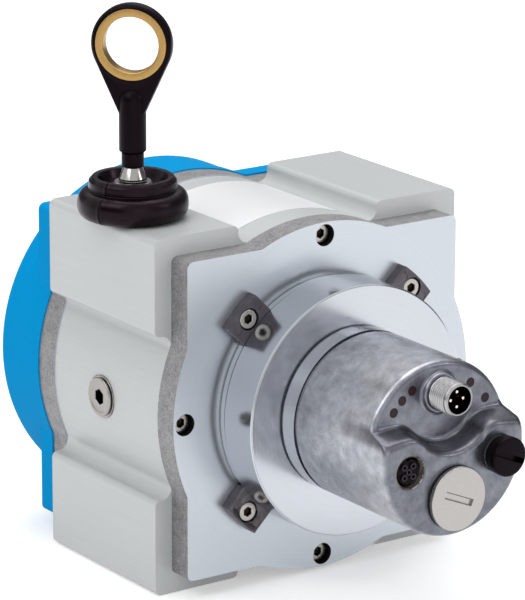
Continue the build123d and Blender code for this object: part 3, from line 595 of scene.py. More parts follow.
class Canvas(Graph):
    """The nodes of one material: its shader, its Object coordinates and the shared effects laid on them."""

    def __init__(self, material: bpy.types.Material, effects: Effects) -> None:
        """Opens the nodes of a new material.

        Args:
            material: the material.
            effects: the shared node groups.
        """
        material.use_nodes = True
        super().__init__(material.node_tree)
        self.effects = effects
        self.shader = self.tree.nodes["Principled BSDF"]
        self.place = self.add("ShaderNodeTexCoord").outputs["Object"]

    def effect(self, tree: bpy.types.NodeTree, **values: object) -> bpy.types.Node:
        """Places a shared effect with its own values."""
        return self.add("ShaderNodeGroup", {"Vector": self.place} | values, node_tree=tree)

    def grain(self, scale: float, stretch: Vec3 = (1.0, 1.0, 1.0)) -> Socket:
        """Grain of a scale, drawn out where the stretch is below 1."""
        return self.effect(self.effects.grain, Stretch=stretch, Scale=scale).outputs["Value"]

    def turning(self, centre: Vec3, scale: float) -> tuple[Socket, Socket]:
        """Lathe marks about a line along Y, and the distance from that line in metres."""
        node = self.effect(self.effects.turning, Centre=tuple(c * MM for c in centre), Scale=scale)
        return node.outputs["Value"], node.outputs["Radius"]

    def mottle(self, scale: float) -> tuple[Socket, Socket]:
        """Broad and fine blotches."""
        node = self.effect(self.effects.mottle, Scale=scale)
        return node.outputs["Broad"], node.outputs["Fine"]

    def specks(self, scale: float, size: float) -> Socket:
        """Small scattered specks."""
        return self.effect(self.effects.specks, Scale=scale, Size=size).outputs["Mask"]

    def paint(self, colour: Socket, roughness: Socket, height: Socket, distance: float) -> None:
        """Gives the shader what varies over the surface.

        Args:
            colour: the colour.
            roughness: the roughness.
            height: the height of the surface, from 0 to 1.
            distance: what a height of 1 stands for, in millimetres.
        """
        values = {"Base Color": colour, "Roughness": roughness, "Normal": self.bump(height, distance)}
        self.fill(self.shader, values)

    def ringed(self, anisotropy: float) -> None:
        """Draws highlights out across rings about Y."""
        tangent = self.add("ShaderNodeTangent", direction_type="RADIAL", axis="Y").outputs["Tangent"]
        self.fill(self.shader, {"Anisotropic": anisotropy, "Tangent": tangent})


class Layer(NamedTuple):
    """A pattern on a finish: its scale, how strongly it shows and what share of the colour it brings."""

    scale: float
    strength: float
    tone: float


@dataclass(frozen=True)
class Finish:
    """A surface finish: its name and the plain values of its shader."""

    name: str
    colour: Colour
    roughness: float = 0.5
    metallic: float = 0.0
    specular: float = 0.5
    grain_height: float = 0.02
    variation: float = 0.05
    grain_scale: ClassVar[float] = 900.0

    def material(self, effects: Effects) -> bpy.types.Material:
        """Makes the material.

        Args:
            effects: the shared node groups.

        Returns:
            A material with its own Principled BSDF.
        """
        material = bpy.data.materials.new(self.name)
        canvas = Canvas(material, effects)
        canvas.fill(canvas.shader, {
            "Base Color": self.colour, "Roughness": self.roughness,
            "Metallic": self.metallic, "Specular IOR Level": self.specular,
        })
        self.detail(canvas)
        material.diffuse_color = (*self.colour, 1.0)
        return material

    def detail(self, canvas: Canvas) -> None:
        """Adds what varies over the surface: a fine grain in colour, roughness and height, and painted shade in the
        mesh's hollows.

        Args:
            canvas: the material's nodes.
        """
        grain = canvas.grain(self.grain_scale)
        # Painted shade: hollows that the mesh marks are darkened towards the shade colour.
        tone = canvas.mix(canvas.painted_shade(), self.between(canvas, grain, 1 - self.variation, 1 + self.variation), SHADE_COLOUR)
        canvas.paint(tone, self.gloss(canvas, grain, self.variation), grain, self.grain_height)

    def shade(self, share: float) -> Colour:
        """The finish's colour, darker or lighter by a share."""
        return tuple(min(1.0, c * share) for c in self.colour)

    def between(self, canvas: Canvas, mask: Socket, low: float, high: float) -> Socket:
        """The finish's colour between two shares of it."""
        return canvas.mix(mask, self.shade(low), self.shade(high))

    def gloss(self, canvas: Canvas, mask: Socket, less: float, more: float | None = None) -> Socket:
        """The roughness from less than the finish's own to more than it, by default by the same number."""
        more = less if more is None else more
        return canvas.spread(mask, 0, 1, self.roughness - less, self.roughness + more)

    def veil(self, canvas: Canvas, tone: Socket, mask: Socket, layer: Layer) -> Socket:
        """Lays a pattern over a tone: the layer's share of the colour, as strong as mask times strength."""
        return canvas.mix(canvas.times(mask, layer.strength), tone, self.shade(layer.tone))


@dataclass(frozen=True)
class Anodised(Finish):
    """Matt anodised extrusion: fine beads, and faint die lines along Y."""

    line_stretch: ClassVar[Vec3] = (1.0, 0.02, 1.0)
    line_scale: ClassVar[float] = 1400.0
    line_tones: ClassVar[Pair] = (0.955, 1.03)
    bead_scale: ClassVar[float] = 2600.0
    bead_gloss: ClassVar[float] = 0.06
    blotches: ClassVar[Layer] = Layer(30.0, 0.35, 0.95)
    glints: ClassVar[Layer] = Layer(900.0, 0.3, 1.25)
    glint_size: ClassVar[float] = 0.16
    height: ClassVar[float] = 0.006

    def detail(self, canvas: Canvas) -> None:
        """Adds die lines, bead grain and a slow change of tone.

        Args:
            canvas: the material's nodes.
        """
        lines, beads = canvas.grain(self.line_scale, self.line_stretch), canvas.grain(self.bead_scale)
        tone = self.between(canvas, lines, *self.line_tones)
        tone = self.veil(canvas, tone, canvas.mottle(self.blotches.scale)[0], self.blotches)
        tone = self.veil(canvas, tone, canvas.specks(self.glints.scale, self.glint_size), self.glints)
        height = canvas.maths("ADD", canvas.times(lines, 0.5), canvas.times(beads, 0.5))
        canvas.paint(tone, self.gloss(canvas, beads, self.bead_gloss), height, self.height)


@dataclass(frozen=True)
class Faced(Finish):
    """Plate with satin faces across Y and rough sawn edges round them."""

    edge_colour: Colour = (0.28, 0.275, 0.28)
    edge_roughness: float = 0.62
    edge_tones: ClassVar[Pair] = (0.45, 2.1)
    edge_light: ClassVar[float] = 0.6
    face_tones: ClassVar[Pair] = (0.97, 1.02)
    face_height: ClassVar[float] = 0.06
    mark_scale: ClassVar[float] = 2200.0
    mottle_scale: ClassVar[float] = 260.0
    pits: ClassVar[Layer] = Layer(170.0, 0.35, 0.6)
    pit_size: ClassVar[float] = 0.05
    height: ClassVar[float] = 0.08
    anisotropy: ClassVar[float] = 0.35
    hole_circle: ClassVar[float] = 59.2
    hole_r: ClassVar[float] = 4.1
    hole_front: ClassVar[float] = -43.8
    hole_back: ClassVar[float] = -35.0
    # Colour of the shade painted into the screw recesses.
    hole_shade_colour: ClassVar[Colour] = (0.02, 0.02, 0.022)

    def detail(self, canvas: Canvas) -> None:
        """Chooses face or edge by the surface's normal, with lathe marks on one and blotches on the other, and paints
        shade into the screw recesses.

        Args:
            canvas: the material's nodes.
        """
        is_face = canvas.spread(canvas.facing(), 0.5, 0.7)
        marks = canvas.turning((0.0, 0.0, AXIS_HEIGHT), self.mark_scale)[0]
        broad, fine = canvas.mottle(self.mottle_scale)
        face = self.between(canvas, marks, *self.face_tones)
        face = self.veil(canvas, face, canvas.specks(self.pits.scale, self.pit_size), self.pits)
        dark, light = (tuple(min(1.0, c * share) for c in self.edge_colour) for share in self.edge_tones)
        edge = canvas.mix(broad, dark, self.edge_colour)
        edge = canvas.mix(canvas.times(fine, self.edge_light), edge, light)
        # Painted shade: the screw recesses are darkened to the hole shade colour.
        tone = canvas.mix(self.screw_hole_shade(canvas), canvas.mix(is_face, edge, face), self.hole_shade_colour)
        rough_height = canvas.times(fine, canvas.maths("SUBTRACT", 1.0, is_face))
        fine_height = canvas.times(marks, canvas.times(is_face, self.face_height))
        roughness = canvas.spread(is_face, 0, 1, self.edge_roughness, self.roughness)
        canvas.paint(tone, roughness, canvas.maths("ADD", rough_height, fine_height), self.height)
        canvas.ringed(self.anisotropy)

    def screw_hole_shade(self, canvas: Canvas) -> Socket:
        """1 on the walls and floors of the four screw recesses of the front plate, where shade is painted.

        The place is folded into one quarter, so that one distance serves all four holes.

        Args:
            canvas: the material's nodes.

        Returns:
            The mask.
        """
        x, y, z = canvas.parts(canvas.vector("SUBTRACT", canvas.place, (0.0, 0.0, AXIS_HEIGHT * MM)))
        x, z = canvas.maths("ABSOLUTE", x), canvas.maths("ABSOLUTE", z)
        out = canvas.maths("SUBTRACT", canvas.maths("MAXIMUM", x, z), self.hole_circle * MM)
        away = canvas.vector("LENGTH", canvas.flat(out, canvas.maths("MINIMUM", x, z)))
        inside = canvas.maths("LESS_THAN", away, self.hole_r * MM)
        behind = canvas.maths("GREATER_THAN", y, self.hole_front * MM)
        ahead = canvas.maths("LESS_THAN", y, self.hole_back * MM)
        return canvas.times(canvas.times(inside, behind), ahead)


@dataclass(frozen=True)
class Lathed(Finish):
    """Turned metal about the drum axis, with fine rings and a fan of light across them.

    A groove is a ring where shade is painted: (front, back, inner radius, outer radius).
    """

    rings: float = 3000.0
    depth: float = 0.006
    anisotropy: float = 0.6
    grooves: tuple[tuple[float, float, float, float], ...] = ()
    tones: ClassVar[Pair] = (0.95, 1.03)
    stains: ClassVar[Layer] = Layer(60.0, 0.3, 0.9)
    groove_shade_strength: ClassVar[float] = 0.6
    gloss_range: ClassVar[Pair] = (0.04, 0.05)

    def detail(self, canvas: Canvas) -> None:
        """Adds the rings in height, colour and roughness, and painted shade in the mesh's hollows and along the
        grooves.

        Args:
            canvas: the material's nodes.
        """
        marks, radius = canvas.turning((0.0, 0.0, AXIS_HEIGHT), self.rings)
        station = canvas.parts(canvas.place)[1]
        tone = self.between(canvas, marks, *self.tones)
        tone = self.veil(canvas, tone, canvas.mottle(self.stains.scale)[0], self.stains)
        # Painted shade from the mesh's hollows and along the listed grooves.
        dark = canvas.painted_shade()
        for front, back, inner, outer in self.grooves:
            groove = canvas.times(canvas.within(station, front, back), canvas.within(radius, inner, outer))
            dark = canvas.maths("MAXIMUM", dark, canvas.times(groove, self.groove_shade_strength))
        roughness = self.gloss(canvas, marks, *self.gloss_range)
        canvas.paint(canvas.mix(dark, tone, SHADE_COLOUR), roughness, marks, self.depth)
        canvas.ringed(self.anisotropy)


@dataclass(frozen=True)
class Cast(Finish):
    """Tumbled die casting: cloudy tone, small dents and fine scratches along Y."""

    cloud: Colour = (0.4, 0.4, 0.45)
    # Share of the colour on faces across Y: painted shade, slightly blue.
    end_face_shade: Colour = WHITE
    clouds: ClassVar[Pair] = (90.0, 0.6)
    drawn_stretch: ClassVar[Vec3] = (1.0, 0.12, 1.0)
    drawn_lines: ClassVar[Layer] = Layer(700.0, 0.3, 1.25)
    stain_scale: ClassVar[float] = 210.0
    pale_stains: ClassVar[Layer] = Layer(210.0, 0.6, 1.5)
    dark_stains: ClassVar[Layer] = Layer(210.0, 0.45, 0.5)
    dents: ClassVar[Pair] = (420.0, 0.1)
    # Colour of the shade that is painted into the mesh's hollows.
    shade_colour: ClassVar[Colour] = (0.045, 0.04, 0.055)
    gloss_range: ClassVar[Pair] = (0.12, 0.06)
    heights: ClassVar[Vec3] = (0.2, 0.35, 0.08)
    height: ClassVar[float] = 0.012

    def detail(self, canvas: Canvas) -> None:
        """Adds clouds, stains, dents and drawn scratches, painted shade in the mesh's hollows, and painted shade,
        slightly blue, on the faces across Y.

        Args:
            canvas: the material's nodes.
        """
        broad, fine = canvas.mottle(self.clouds[0])
        drawn = canvas.grain(self.drawn_lines.scale, self.drawn_stretch)
        stain = canvas.mottle(self.stain_scale)[0]
        tone = canvas.mix(canvas.times(broad, self.clouds[1]), self.colour, self.cloud)
        tone = self.veil(canvas, tone, drawn, self.drawn_lines)
        tone = self.veil(canvas, tone, canvas.spread(stain, 0.5, 0.95), self.pale_stains)
        tone = self.veil(canvas, tone, canvas.spread(stain, 0.42, 0.1), self.dark_stains)
        # Painted shade: the faces across Y are darker, and a little bluer, than the side.
        ends = canvas.spread(canvas.facing(), 0.9, 0.3)
        tone = canvas.vector("MULTIPLY", tone, canvas.mix(ends, self.end_face_shade, WHITE))
        roughness = canvas.maths("ADD", canvas.times(broad, self.gloss_range[0]), self.roughness - self.gloss_range[1])
        blotches, scratches, dents = self.heights
        height = canvas.maths("ADD", canvas.times(fine, blotches), canvas.times(drawn, scratches))
        height = canvas.maths("SUBTRACT", height, canvas.times(canvas.specks(*self.dents), dents))
        canvas.paint(canvas.mix(canvas.painted_shade(), tone, self.shade_colour), roughness, height, self.height)


@dataclass(frozen=True)
class Moulded(Finish):
    """Moulded plastic: a fine spark-eroded texture and a slow change of gloss."""

    texture: float = 0.03
    texture_scale: float = 1500.0
    tint: Colour = WHITE
    tones: ClassVar[Pair] = (0.93, 1.06)
    gloss_scale: ClassVar[float] = 40.0
    gloss_range: ClassVar[float] = 0.06

    def detail(self, canvas: Canvas) -> None:
        """Adds the texture and the change of gloss.

        Args:
            canvas: the material's nodes.
        """
        texture = canvas.grain(self.texture_scale)
        gloss = self.gloss(canvas, canvas.mottle(self.gloss_scale)[0], self.gloss_range)
        canvas.paint(self.between(canvas, texture, *self.tones), gloss, texture, self.texture)
        canvas.fill(canvas.shader, {"Specular Tint": self.tint})


@dataclass(frozen=True)
class Film(Finish):
    """Bare silver film with a fine metallic grain."""

    stretch: ClassVar[Vec3] = (1.0, 0.3, 1.0)
    grain_scale: ClassVar[float] = 2400.0
    tones: ClassVar[Pair] = (0.97, 1.02)
    gloss_range: ClassVar[float] = 0.03
    height: ClassVar[float] = 0.004

    def detail(self, canvas: Canvas) -> None:
        """Adds the grain of the film.

        Args:
            canvas: the material's nodes.
        """
        grain = canvas.grain(self.grain_scale, self.stretch)
        gloss = self.gloss(canvas, grain, self.gloss_range)
        canvas.paint(self.between(canvas, grain, *self.tones), gloss, grain, self.height)


# Rings of painted shade on the turned ring: at its foot, its joint with the plate, its front edge and the lip's groove.
RING_SHADE_GROOVES = (
    (-47.6, -46.7, 42.0, 45.0), (-44.6, -43.8, 44.0, 45.0), (-64.9, -64.35, 45.2, 46.0), (-69.9, -67.95, 28.0, 29.6),
)
CLAMP_GREY, CLAMP_CLOUD = (0.098, 0.090, 0.102), (0.068, 0.063, 0.072)
# The last of these is the painted shade, slightly blue, on the casting's end faces.
CAST_GREY, CAST_CLOUD, CAST_END_SHADE = (0.37, 0.38, 0.41), (0.25, 0.255, 0.30), (0.46, 0.465, 0.50)
BLACK, BUMPER_BLACK = (0.0015, 0.0006, 0.0013), (0.003, 0.001, 0.002)
BLACK_TINT, BUMPER_TINT = (1.0, 0.68, 0.88), (1.0, 0.72, 0.88)

FINISHES: dict[str, Finish] = {
    "anodised_body": Anodised("matt anodised extrusion", (0.54, 0.56, 0.56), 0.40, 0.2),
    "plate_aluminium": Faced("faced plate", (0.545, 0.58, 0.625), 0.34, 0.9),
    "turned_aluminium": Lathed(
        "fine turned aluminium", (0.52, 0.54, 0.58), 0.17, 1.0, anisotropy=0.7, depth=0.0015, grooves=RING_SHADE_GROOVES
    ),
    "clamp_aluminium": Cast("clamp aluminium", CLAMP_GREY, 0.36, 0.8, cloud=CLAMP_CLOUD),
    "cast_housing": Cast("tumbled casting", CAST_GREY, 0.30, 0.9, cloud=CAST_CLOUD, end_face_shade=CAST_END_SHADE),
    "drum_aluminium": Lathed("turned drum", (0.60, 0.60, 0.61), 0.35, 1.0),
    "screw_steel": Lathed("bright screw steel", (0.42, 0.40, 0.375), 0.24, 1.0, rings=6000.0, depth=0.004),
    "shaft_steel": Lathed("ground steel", (0.52, 0.52, 0.53), 0.22, 1.0),
    "spring_steel": Finish("blued spring strip", (0.10, 0.11, 0.16), 0.35, 0.9),
    "wire_steel": Finish("stranded stainless wire", (0.42, 0.42, 0.43), 0.32, 1.0),
    "nickel": Finish("warm nickel", (0.405, 0.39, 0.375), 0.28, 1.0, grain_height=0.001, variation=0.015),
    "bright_nickel": Finish("cool nickel", (0.46, 0.46, 0.47), 0.30, 1.0, grain_height=0.001),
    "aged_nickel": Finish("aged nickel", (0.33, 0.315, 0.30), 0.25, 1.0, grain_height=0.002),
    "port_nickel": Finish("dull port nickel", (0.20, 0.195, 0.19), 0.35, 1.0, grain_height=0.001, variation=0.02),
    "cone_steel": Finish("polished cone steel", (0.36, 0.35, 0.34), 0.16, 1.0, grain_height=0.001),
    "blue_plastic": Moulded("blue moulding", (0.001, 0.29, 0.64), 0.55, 0.0, 0.015, texture=0.02),
    "black_plastic": Moulded("black moulding", BLACK, 0.32, 0.0, 0.09, texture=0.008, tint=BLACK_TINT),
    "insert_plastic": Moulded("port insert", (0.020, 0.016, 0.026), 0.35, 0.0, 0.3, texture=0.005),
    "bumper_rubber": Moulded(
        "bumper rubber", BUMPER_BLACK, 0.27, 0.0, 0.16, texture=0.008, texture_scale=900.0, tint=BUMPER_TINT
    ),
    "seal_rubber": Moulded("seal rubber", (0.006, 0.006, 0.006), 0.55, 0.0, 0.3, texture=0.02),
    "felt": Moulded("pressed felt", (0.45, 0.42, 0.36), 0.95, 0.0, 0.1, texture=0.2, texture_scale=1200.0),
    "brass": Finish("matt brass", (0.44, 0.275, 0.095), 0.34, 0.95, variation=0.08),
    "gold_contact": Finish("pale gold contact", (0.80, 0.70, 0.52), 0.25, 1.0),
    "label_film": Film("silver film", (0.81, 0.83, 0.84), 0.34, 0.1),
    "board_laminate": Moulded("board laminate", (0.02, 0.16, 0.06), 0.4, 0.0, texture=0.02),
    "disc_plastic": Moulded("code disc", (0.35, 0.38, 0.42), 0.2, 0.0, texture=0.002),
    "lens_plastic": Moulded("tinted lens", (0.032, 0.016, 0.020), 0.16, 0.0, 0.15, texture=0.003),
}


class Finishes:
    """All the finishes of the device, by the record's slots."""

    def __init__(self) -> None:
        """Makes every material once."""
        effects = Effects()
        self.by_slot = {slot: finish.material(effects) for slot, finish in FINISHES.items()}

    def dress(self, piece: Piece, slot: str) -> None:
        """Gives a piece one finish."""
        piece.data.materials.clear()
        piece.data.materials.append(self.by_slot[slot])

    def dress_nodes(self) -> None:
        """Gives every CAD node the finish of its slot in the record."""
        for row in frame["record"]["subparts"]:
            self.dress(frame["nodes"][row["node"]], row["material_slot"])


# ---------------------------------------------------------------- sub-assemblies


@dataclass
class Assembly:
    """What all sub-assemblies share: dressing a new piece and tying it to its body."""

    finishes: Finishes
    body: ClassVar[str] = "housing"

    def finish_piece(self, piece: Piece, slot: str, record_slot: str, *nodes: str) -> None:
        """Dresses a piece, ties it to the body and hides the nodes that it stands for.

        Args:
            piece: the new object.
            slot: the finish it takes.
            record_slot: the record's material slot; not used.
            nodes: the CAD nodes that it replaces.
        """
        self.finishes.dress(piece, slot)
        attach(piece, self.body)
        if nodes:
            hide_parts(*nodes)
        self.report(piece)

    @staticmethod
    def report(piece: Piece) -> None:
        """Logs a finished piece."""
        LOG.info("%s: %d faces", piece.name, len(piece.data.polygons))


@dataclass(frozen=True)
class ScrewRing:
    """Four socket head cap screws along Y on a circle about the drum axis, each one closed surface."""

    circle: float
    first_turn: float
    front: float
    head: float
    length: float
    key_depth: float
    shank_r: float = 2.0
    shank_chamfer: float = 0.4
    head_r: float = 3.5
    edge: float = 0.35
    key: float = 3.0
    key_chamfer: float = 0.22
    tip: float = 0.5

    def screw(self, degrees: float) -> tuple[Array, Array]:
        """The grid of one screw: rings from the shank's end over the head to the bottom of the socket.

        Args:
            degrees: where the screw stands on the circle, from +X.

        Returns:
            (rows, columns, 3) positions in millimetres, and (rows, columns) painted shade values.
        """
        angle = around(72)
        end, wide = -self.head - self.length, self.key + 2 * self.key_chamfer
        shank = [(0.0, end), (self.shank_r * 0.8, end), (self.shank_r, end + self.shank_chamfer)]
        top = rounded([
            (self.shank_r, -self.head, 0), (self.head_r, -self.head, 0.1), (self.head_r, 0, self.edge),
            (self.key * 0.66, 0, 0),
        ])
        flats = [(wide, 0.0), (self.key, -self.key_chamfer), (self.key, -self.key_depth)]
        radius, height = socketed([*shank, *top], flats, -self.key_depth - self.tip, angle)
        # Painted shade in the hexagonal socket: full deep inside it, less towards its chamfer.
        painted_shade = np.zeros_like(radius)
        painted_shade[-2:], painted_shade[-3] = 1.0, 0.75
        x, z = on_circle(self.circle, degrees)
        return Spindle((x, self.front, z), Direction.FRONT.value).place(radius, angle[None, :], height), painted_shade

    def build(self, name: str) -> Piece:
        """All four screws as one piece."""
        return joined(name, [self.screw(self.first_turn + 90 * k) for k in range(4)])


@dataclass
class Barrel(Assembly):
    """What the extruded body and its front plate carry: screws, clamps and the side plug."""

    plate_screws: ScrewRing = ScrewRing(59.2, 0.0, -44.0 + 2.6, 4.0, 13.0, 2.0)
    clamp_screws: ScrewRing = ScrewRing(49.9, 45.0, -48.4 + 0.4, 2.8, 7.0, 1.7)
    clamp_edge: float = 0.35
    clamp_shortest: float = 3.0
    plug_place: Vec3 = (-63.0, 2.5, 64.1)
    plug_skin: Corners = (
        (0, -5, 0), (5.0, -5, 0), (5.0, 0.02, 0), (7.5, 0.02, 0.1), (7.7, 0.35, 0.2), (7.7, 0.75, 0.2), (6.6, 0.8, 0.1),
        (6.6, 1.1, 0), (7.1, 1.15, 0.1), (7.1, 1.9, 0.35), (5.9, 1.9, 0.1), (5.7, 1.78, 0), (3.3, 1.78, 0),
    )
    plug_key: tuple[Pair, ...] = ((5.5, 1.78), (5.0, 1.5), (5.0, -1.0))
    plug_tip: float = -1.6
    # Where shade is painted: radius and top of the socket, and radius and heights of the groove behind the rim.
    plug_socket_shade: Pair = (2.95, 1.55)
    plug_groove_shade: Vec3 = (6.6, 0.6, 1.15)

    def build(self) -> None:
        """Builds the screws in front, the clamps with their edges broken, and the side plug."""
        screws = self.plate_screws.build("front_plate_cap_screws")
        self.finish_piece(screws, "screw_steel", "screw_steel", "front_plate_screws")
        screws = self.clamp_screws.build("clamp_cap_screws")
        self.finish_piece(screws, "screw_steel", "screw_steel", "clamp_screws")
        clamps = softened("broken_edge_clamps", "servo_clamps", self.clamp_edge, self.clamp_shortest)
        self.finish_piece(clamps, "clamp_aluminium", "plate_aluminium", "servo_clamps")
        self.side_plug()

    def side_plug(self) -> None:
        """The plug in the left side: a head with a groove behind its rim and a hexagonal socket, with shade painted
        into both.
        """
        angle = around(96)
        radius, height = socketed(rounded(self.plug_skin), self.plug_key, self.plug_tip, angle)
        socket_r, socket_top = self.plug_socket_shade
        groove_r, low, high = self.plug_groove_shade
        # Painted shade in the socket and in the groove.
        in_socket = (radius < socket_r) & (height < socket_top)
        in_groove = (np.abs(radius - groove_r) < 0.05) & (height < high) & (height > low)
        points = Spindle(self.plug_place, Direction.LEFT.value).place(radius, angle[None, :], height)
        piece = surface("side_screw_plug", points, (in_socket | in_groove).astype(float))
        self.finish_piece(piece, "aged_nickel", "nickel", "side_plug", "side_plug_seal")


@dataclass
class WireOutlet(Assembly):
    """The rubber bumper round the nozzle on the upper left block."""

    base: Vec3 = (*WIRE_PLACE, 130.0)
    bead_centre: Pair = (15.3, 5.0)
    bead_size: Pair = (4.3, 5.0)
    bead_sweep: Pair = (-90.0, 78.0)
    fullness: float = 0.82
    mouth_r: float = 7.75
    band: Corners = (
        (15.15, 10.15, 0.3), (15.75, 10.8, 0.35), (15.6, 11.4, 0.4), (15.55, 13.3, 0.9), (14.2, 14.75, 0.9),
        (12.4, 14.6, 0.9), (11.2, 11.5, 1.5), (9.3, 8.6, 1.0), (7.75, 8.2, 0), (7.75, 0, 0),
    )
    seam_turn: float = 160.0
    seam_depth: float = 0.75
    seam_width: float = 0.02
    seam_inner_r: float = 12.5
    lip_share: float = 0.45
    lip_width: float = 2.6

    def full(self, value: Array) -> Array:
        """A sine or cosine raised to the fullness, with its sign kept."""
        return np.sign(value) * np.abs(value) ** self.fullness

    def profile(self) -> Array:
        """The bumper's half section: a full bead below, a crease, a band with a rounded lip and the mouth.

        The bead is a superellipse: both cosine and sine are raised to the fullness.

        Returns:
            (n, 2) radii and heights.
        """
        t = np.radians(np.linspace(*self.bead_sweep, 40))
        shape = np.stack([self.full(np.cos(t)), self.full(np.sin(t))], axis=1)
        bead = np.array(self.bead_centre) + np.array(self.bead_size) * shape
        band = rounded([(*bead[-1], 0), *self.band], 6)
        return np.concatenate([[(self.mouth_r, 0.0)], bead, band[1:]])

    def build(self) -> None:
        """Builds the bumper with its two mould seams, which are close grooves with a slight lip on each side."""
        profile = self.profile()
        seams = np.radians([self.seam_turn, self.seam_turn + 180])
        close = (seams[:, None] + np.linspace(-0.06, 0.06, 25)[None, :]).ravel() % (2 * np.pi)
        angle = np.unique(np.round(np.concatenate([around(180), close]), 4))[None, :]
        radius = profile[:, :1] + 0 * angle
        for seam in seams:
            away = wrapped(angle - seam) / self.seam_width
            cut = np.exp(-(away**2)) - self.lip_share * np.exp(-((away / self.lip_width) ** 2))
            radius = radius - self.seam_depth * cut * (profile[:, :1] > self.seam_inner_r)
        points = Spindle(self.base, Direction.UP.value).place(radius, angle, profile[:, 1:])
        piece = surface("ribbed_rubber_bumper", points, sharp=60.0)
        self.finish_piece(piece, "bumper_rubber", "bumper_rubber", "rubber_bumper")


@dataclass
class MeasuringWire(Assembly):
    """The wire between drum and wire end."""

    start: Vec3 = (*WIRE_PLACE, 77.2)
    top: float = 146.0
    wire_r: float = 0.66
    strands: int = 7
    lay: float = 9.0
    groove: float = 0.06

    def build(self) -> None:
        """Builds the wire: a round bar whose radius waves once for each strand as it winds along."""
        height = np.linspace(0, self.top - self.start[2], 160)[:, None]
        angle = around(42)[None, :]
        wave = np.cos(self.strands * (angle - 2 * np.pi * height / self.lay / self.strands))
        radius = self.wire_r * (1 - self.groove * (1 - wave))
        radius = np.concatenate([0 * radius[:1], radius, 0 * radius[-1:]])
        height = np.concatenate([height[:1], height, height[-1:]])
        piece = surface("stranded_wire", Spindle(self.start, Direction.UP.value).place(radius, angle, height))
        self.finishes.dress(piece, "wire_steel")
        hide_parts("measuring_wire")
        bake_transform(piece)
        self.report(piece)


@dataclass
class WireEnd(Assembly):
    """The steel cone at the wire's end and the collar above it."""

    body: ClassVar[str] = "wire_end"
    base: Vec3 = (*WIRE_PLACE, 143.1)
    cone_height: float = 5.0
    collar_length: float = 5.2
    pin_length: float = 15.0
    pin_r: float = 2.4
    pin_head: Pair = (3.1, 3.0)

    def build(self) -> None:
        """Builds the cone with its pin and the collar."""
        spindle = Spindle(self.base, Direction.UP.value)
        low, high = self.cone_height, self.cone_height + self.collar_length
        top, pin, (head_r, head_length) = high + self.pin_length, self.pin_r, self.pin_head
        cone = rounded([
            (0, 0, 0), (4.8, 0, 0.2), (5.0, 0.35, 0.1), (5.0, 0.9, 0.15), (3.2, low, 0.1), (pin, low, 0),
            (pin, top - head_length, 0), (head_r, top - head_length, 0), (head_r, top, 0), (0, top, 0),
        ])
        self.finish_piece(turned("wire_end_fitting", spindle, cone), "cone_steel", "nickel", "wire_end_cone")
        collar = rounded([
            (2.45, low, 0), (3.8, low, 0.2), (3.95, low + 0.3, 0.2), (3.95, high - 0.3, 0.2), (3.7, high, 0.1),
            (2.45, high, 0), (2.45, low, 0),
        ], 4)
        self.finish_piece(turned("swivel_sleeve", spindle, collar), "black_plastic", "black_plastic", "swivel_collar")


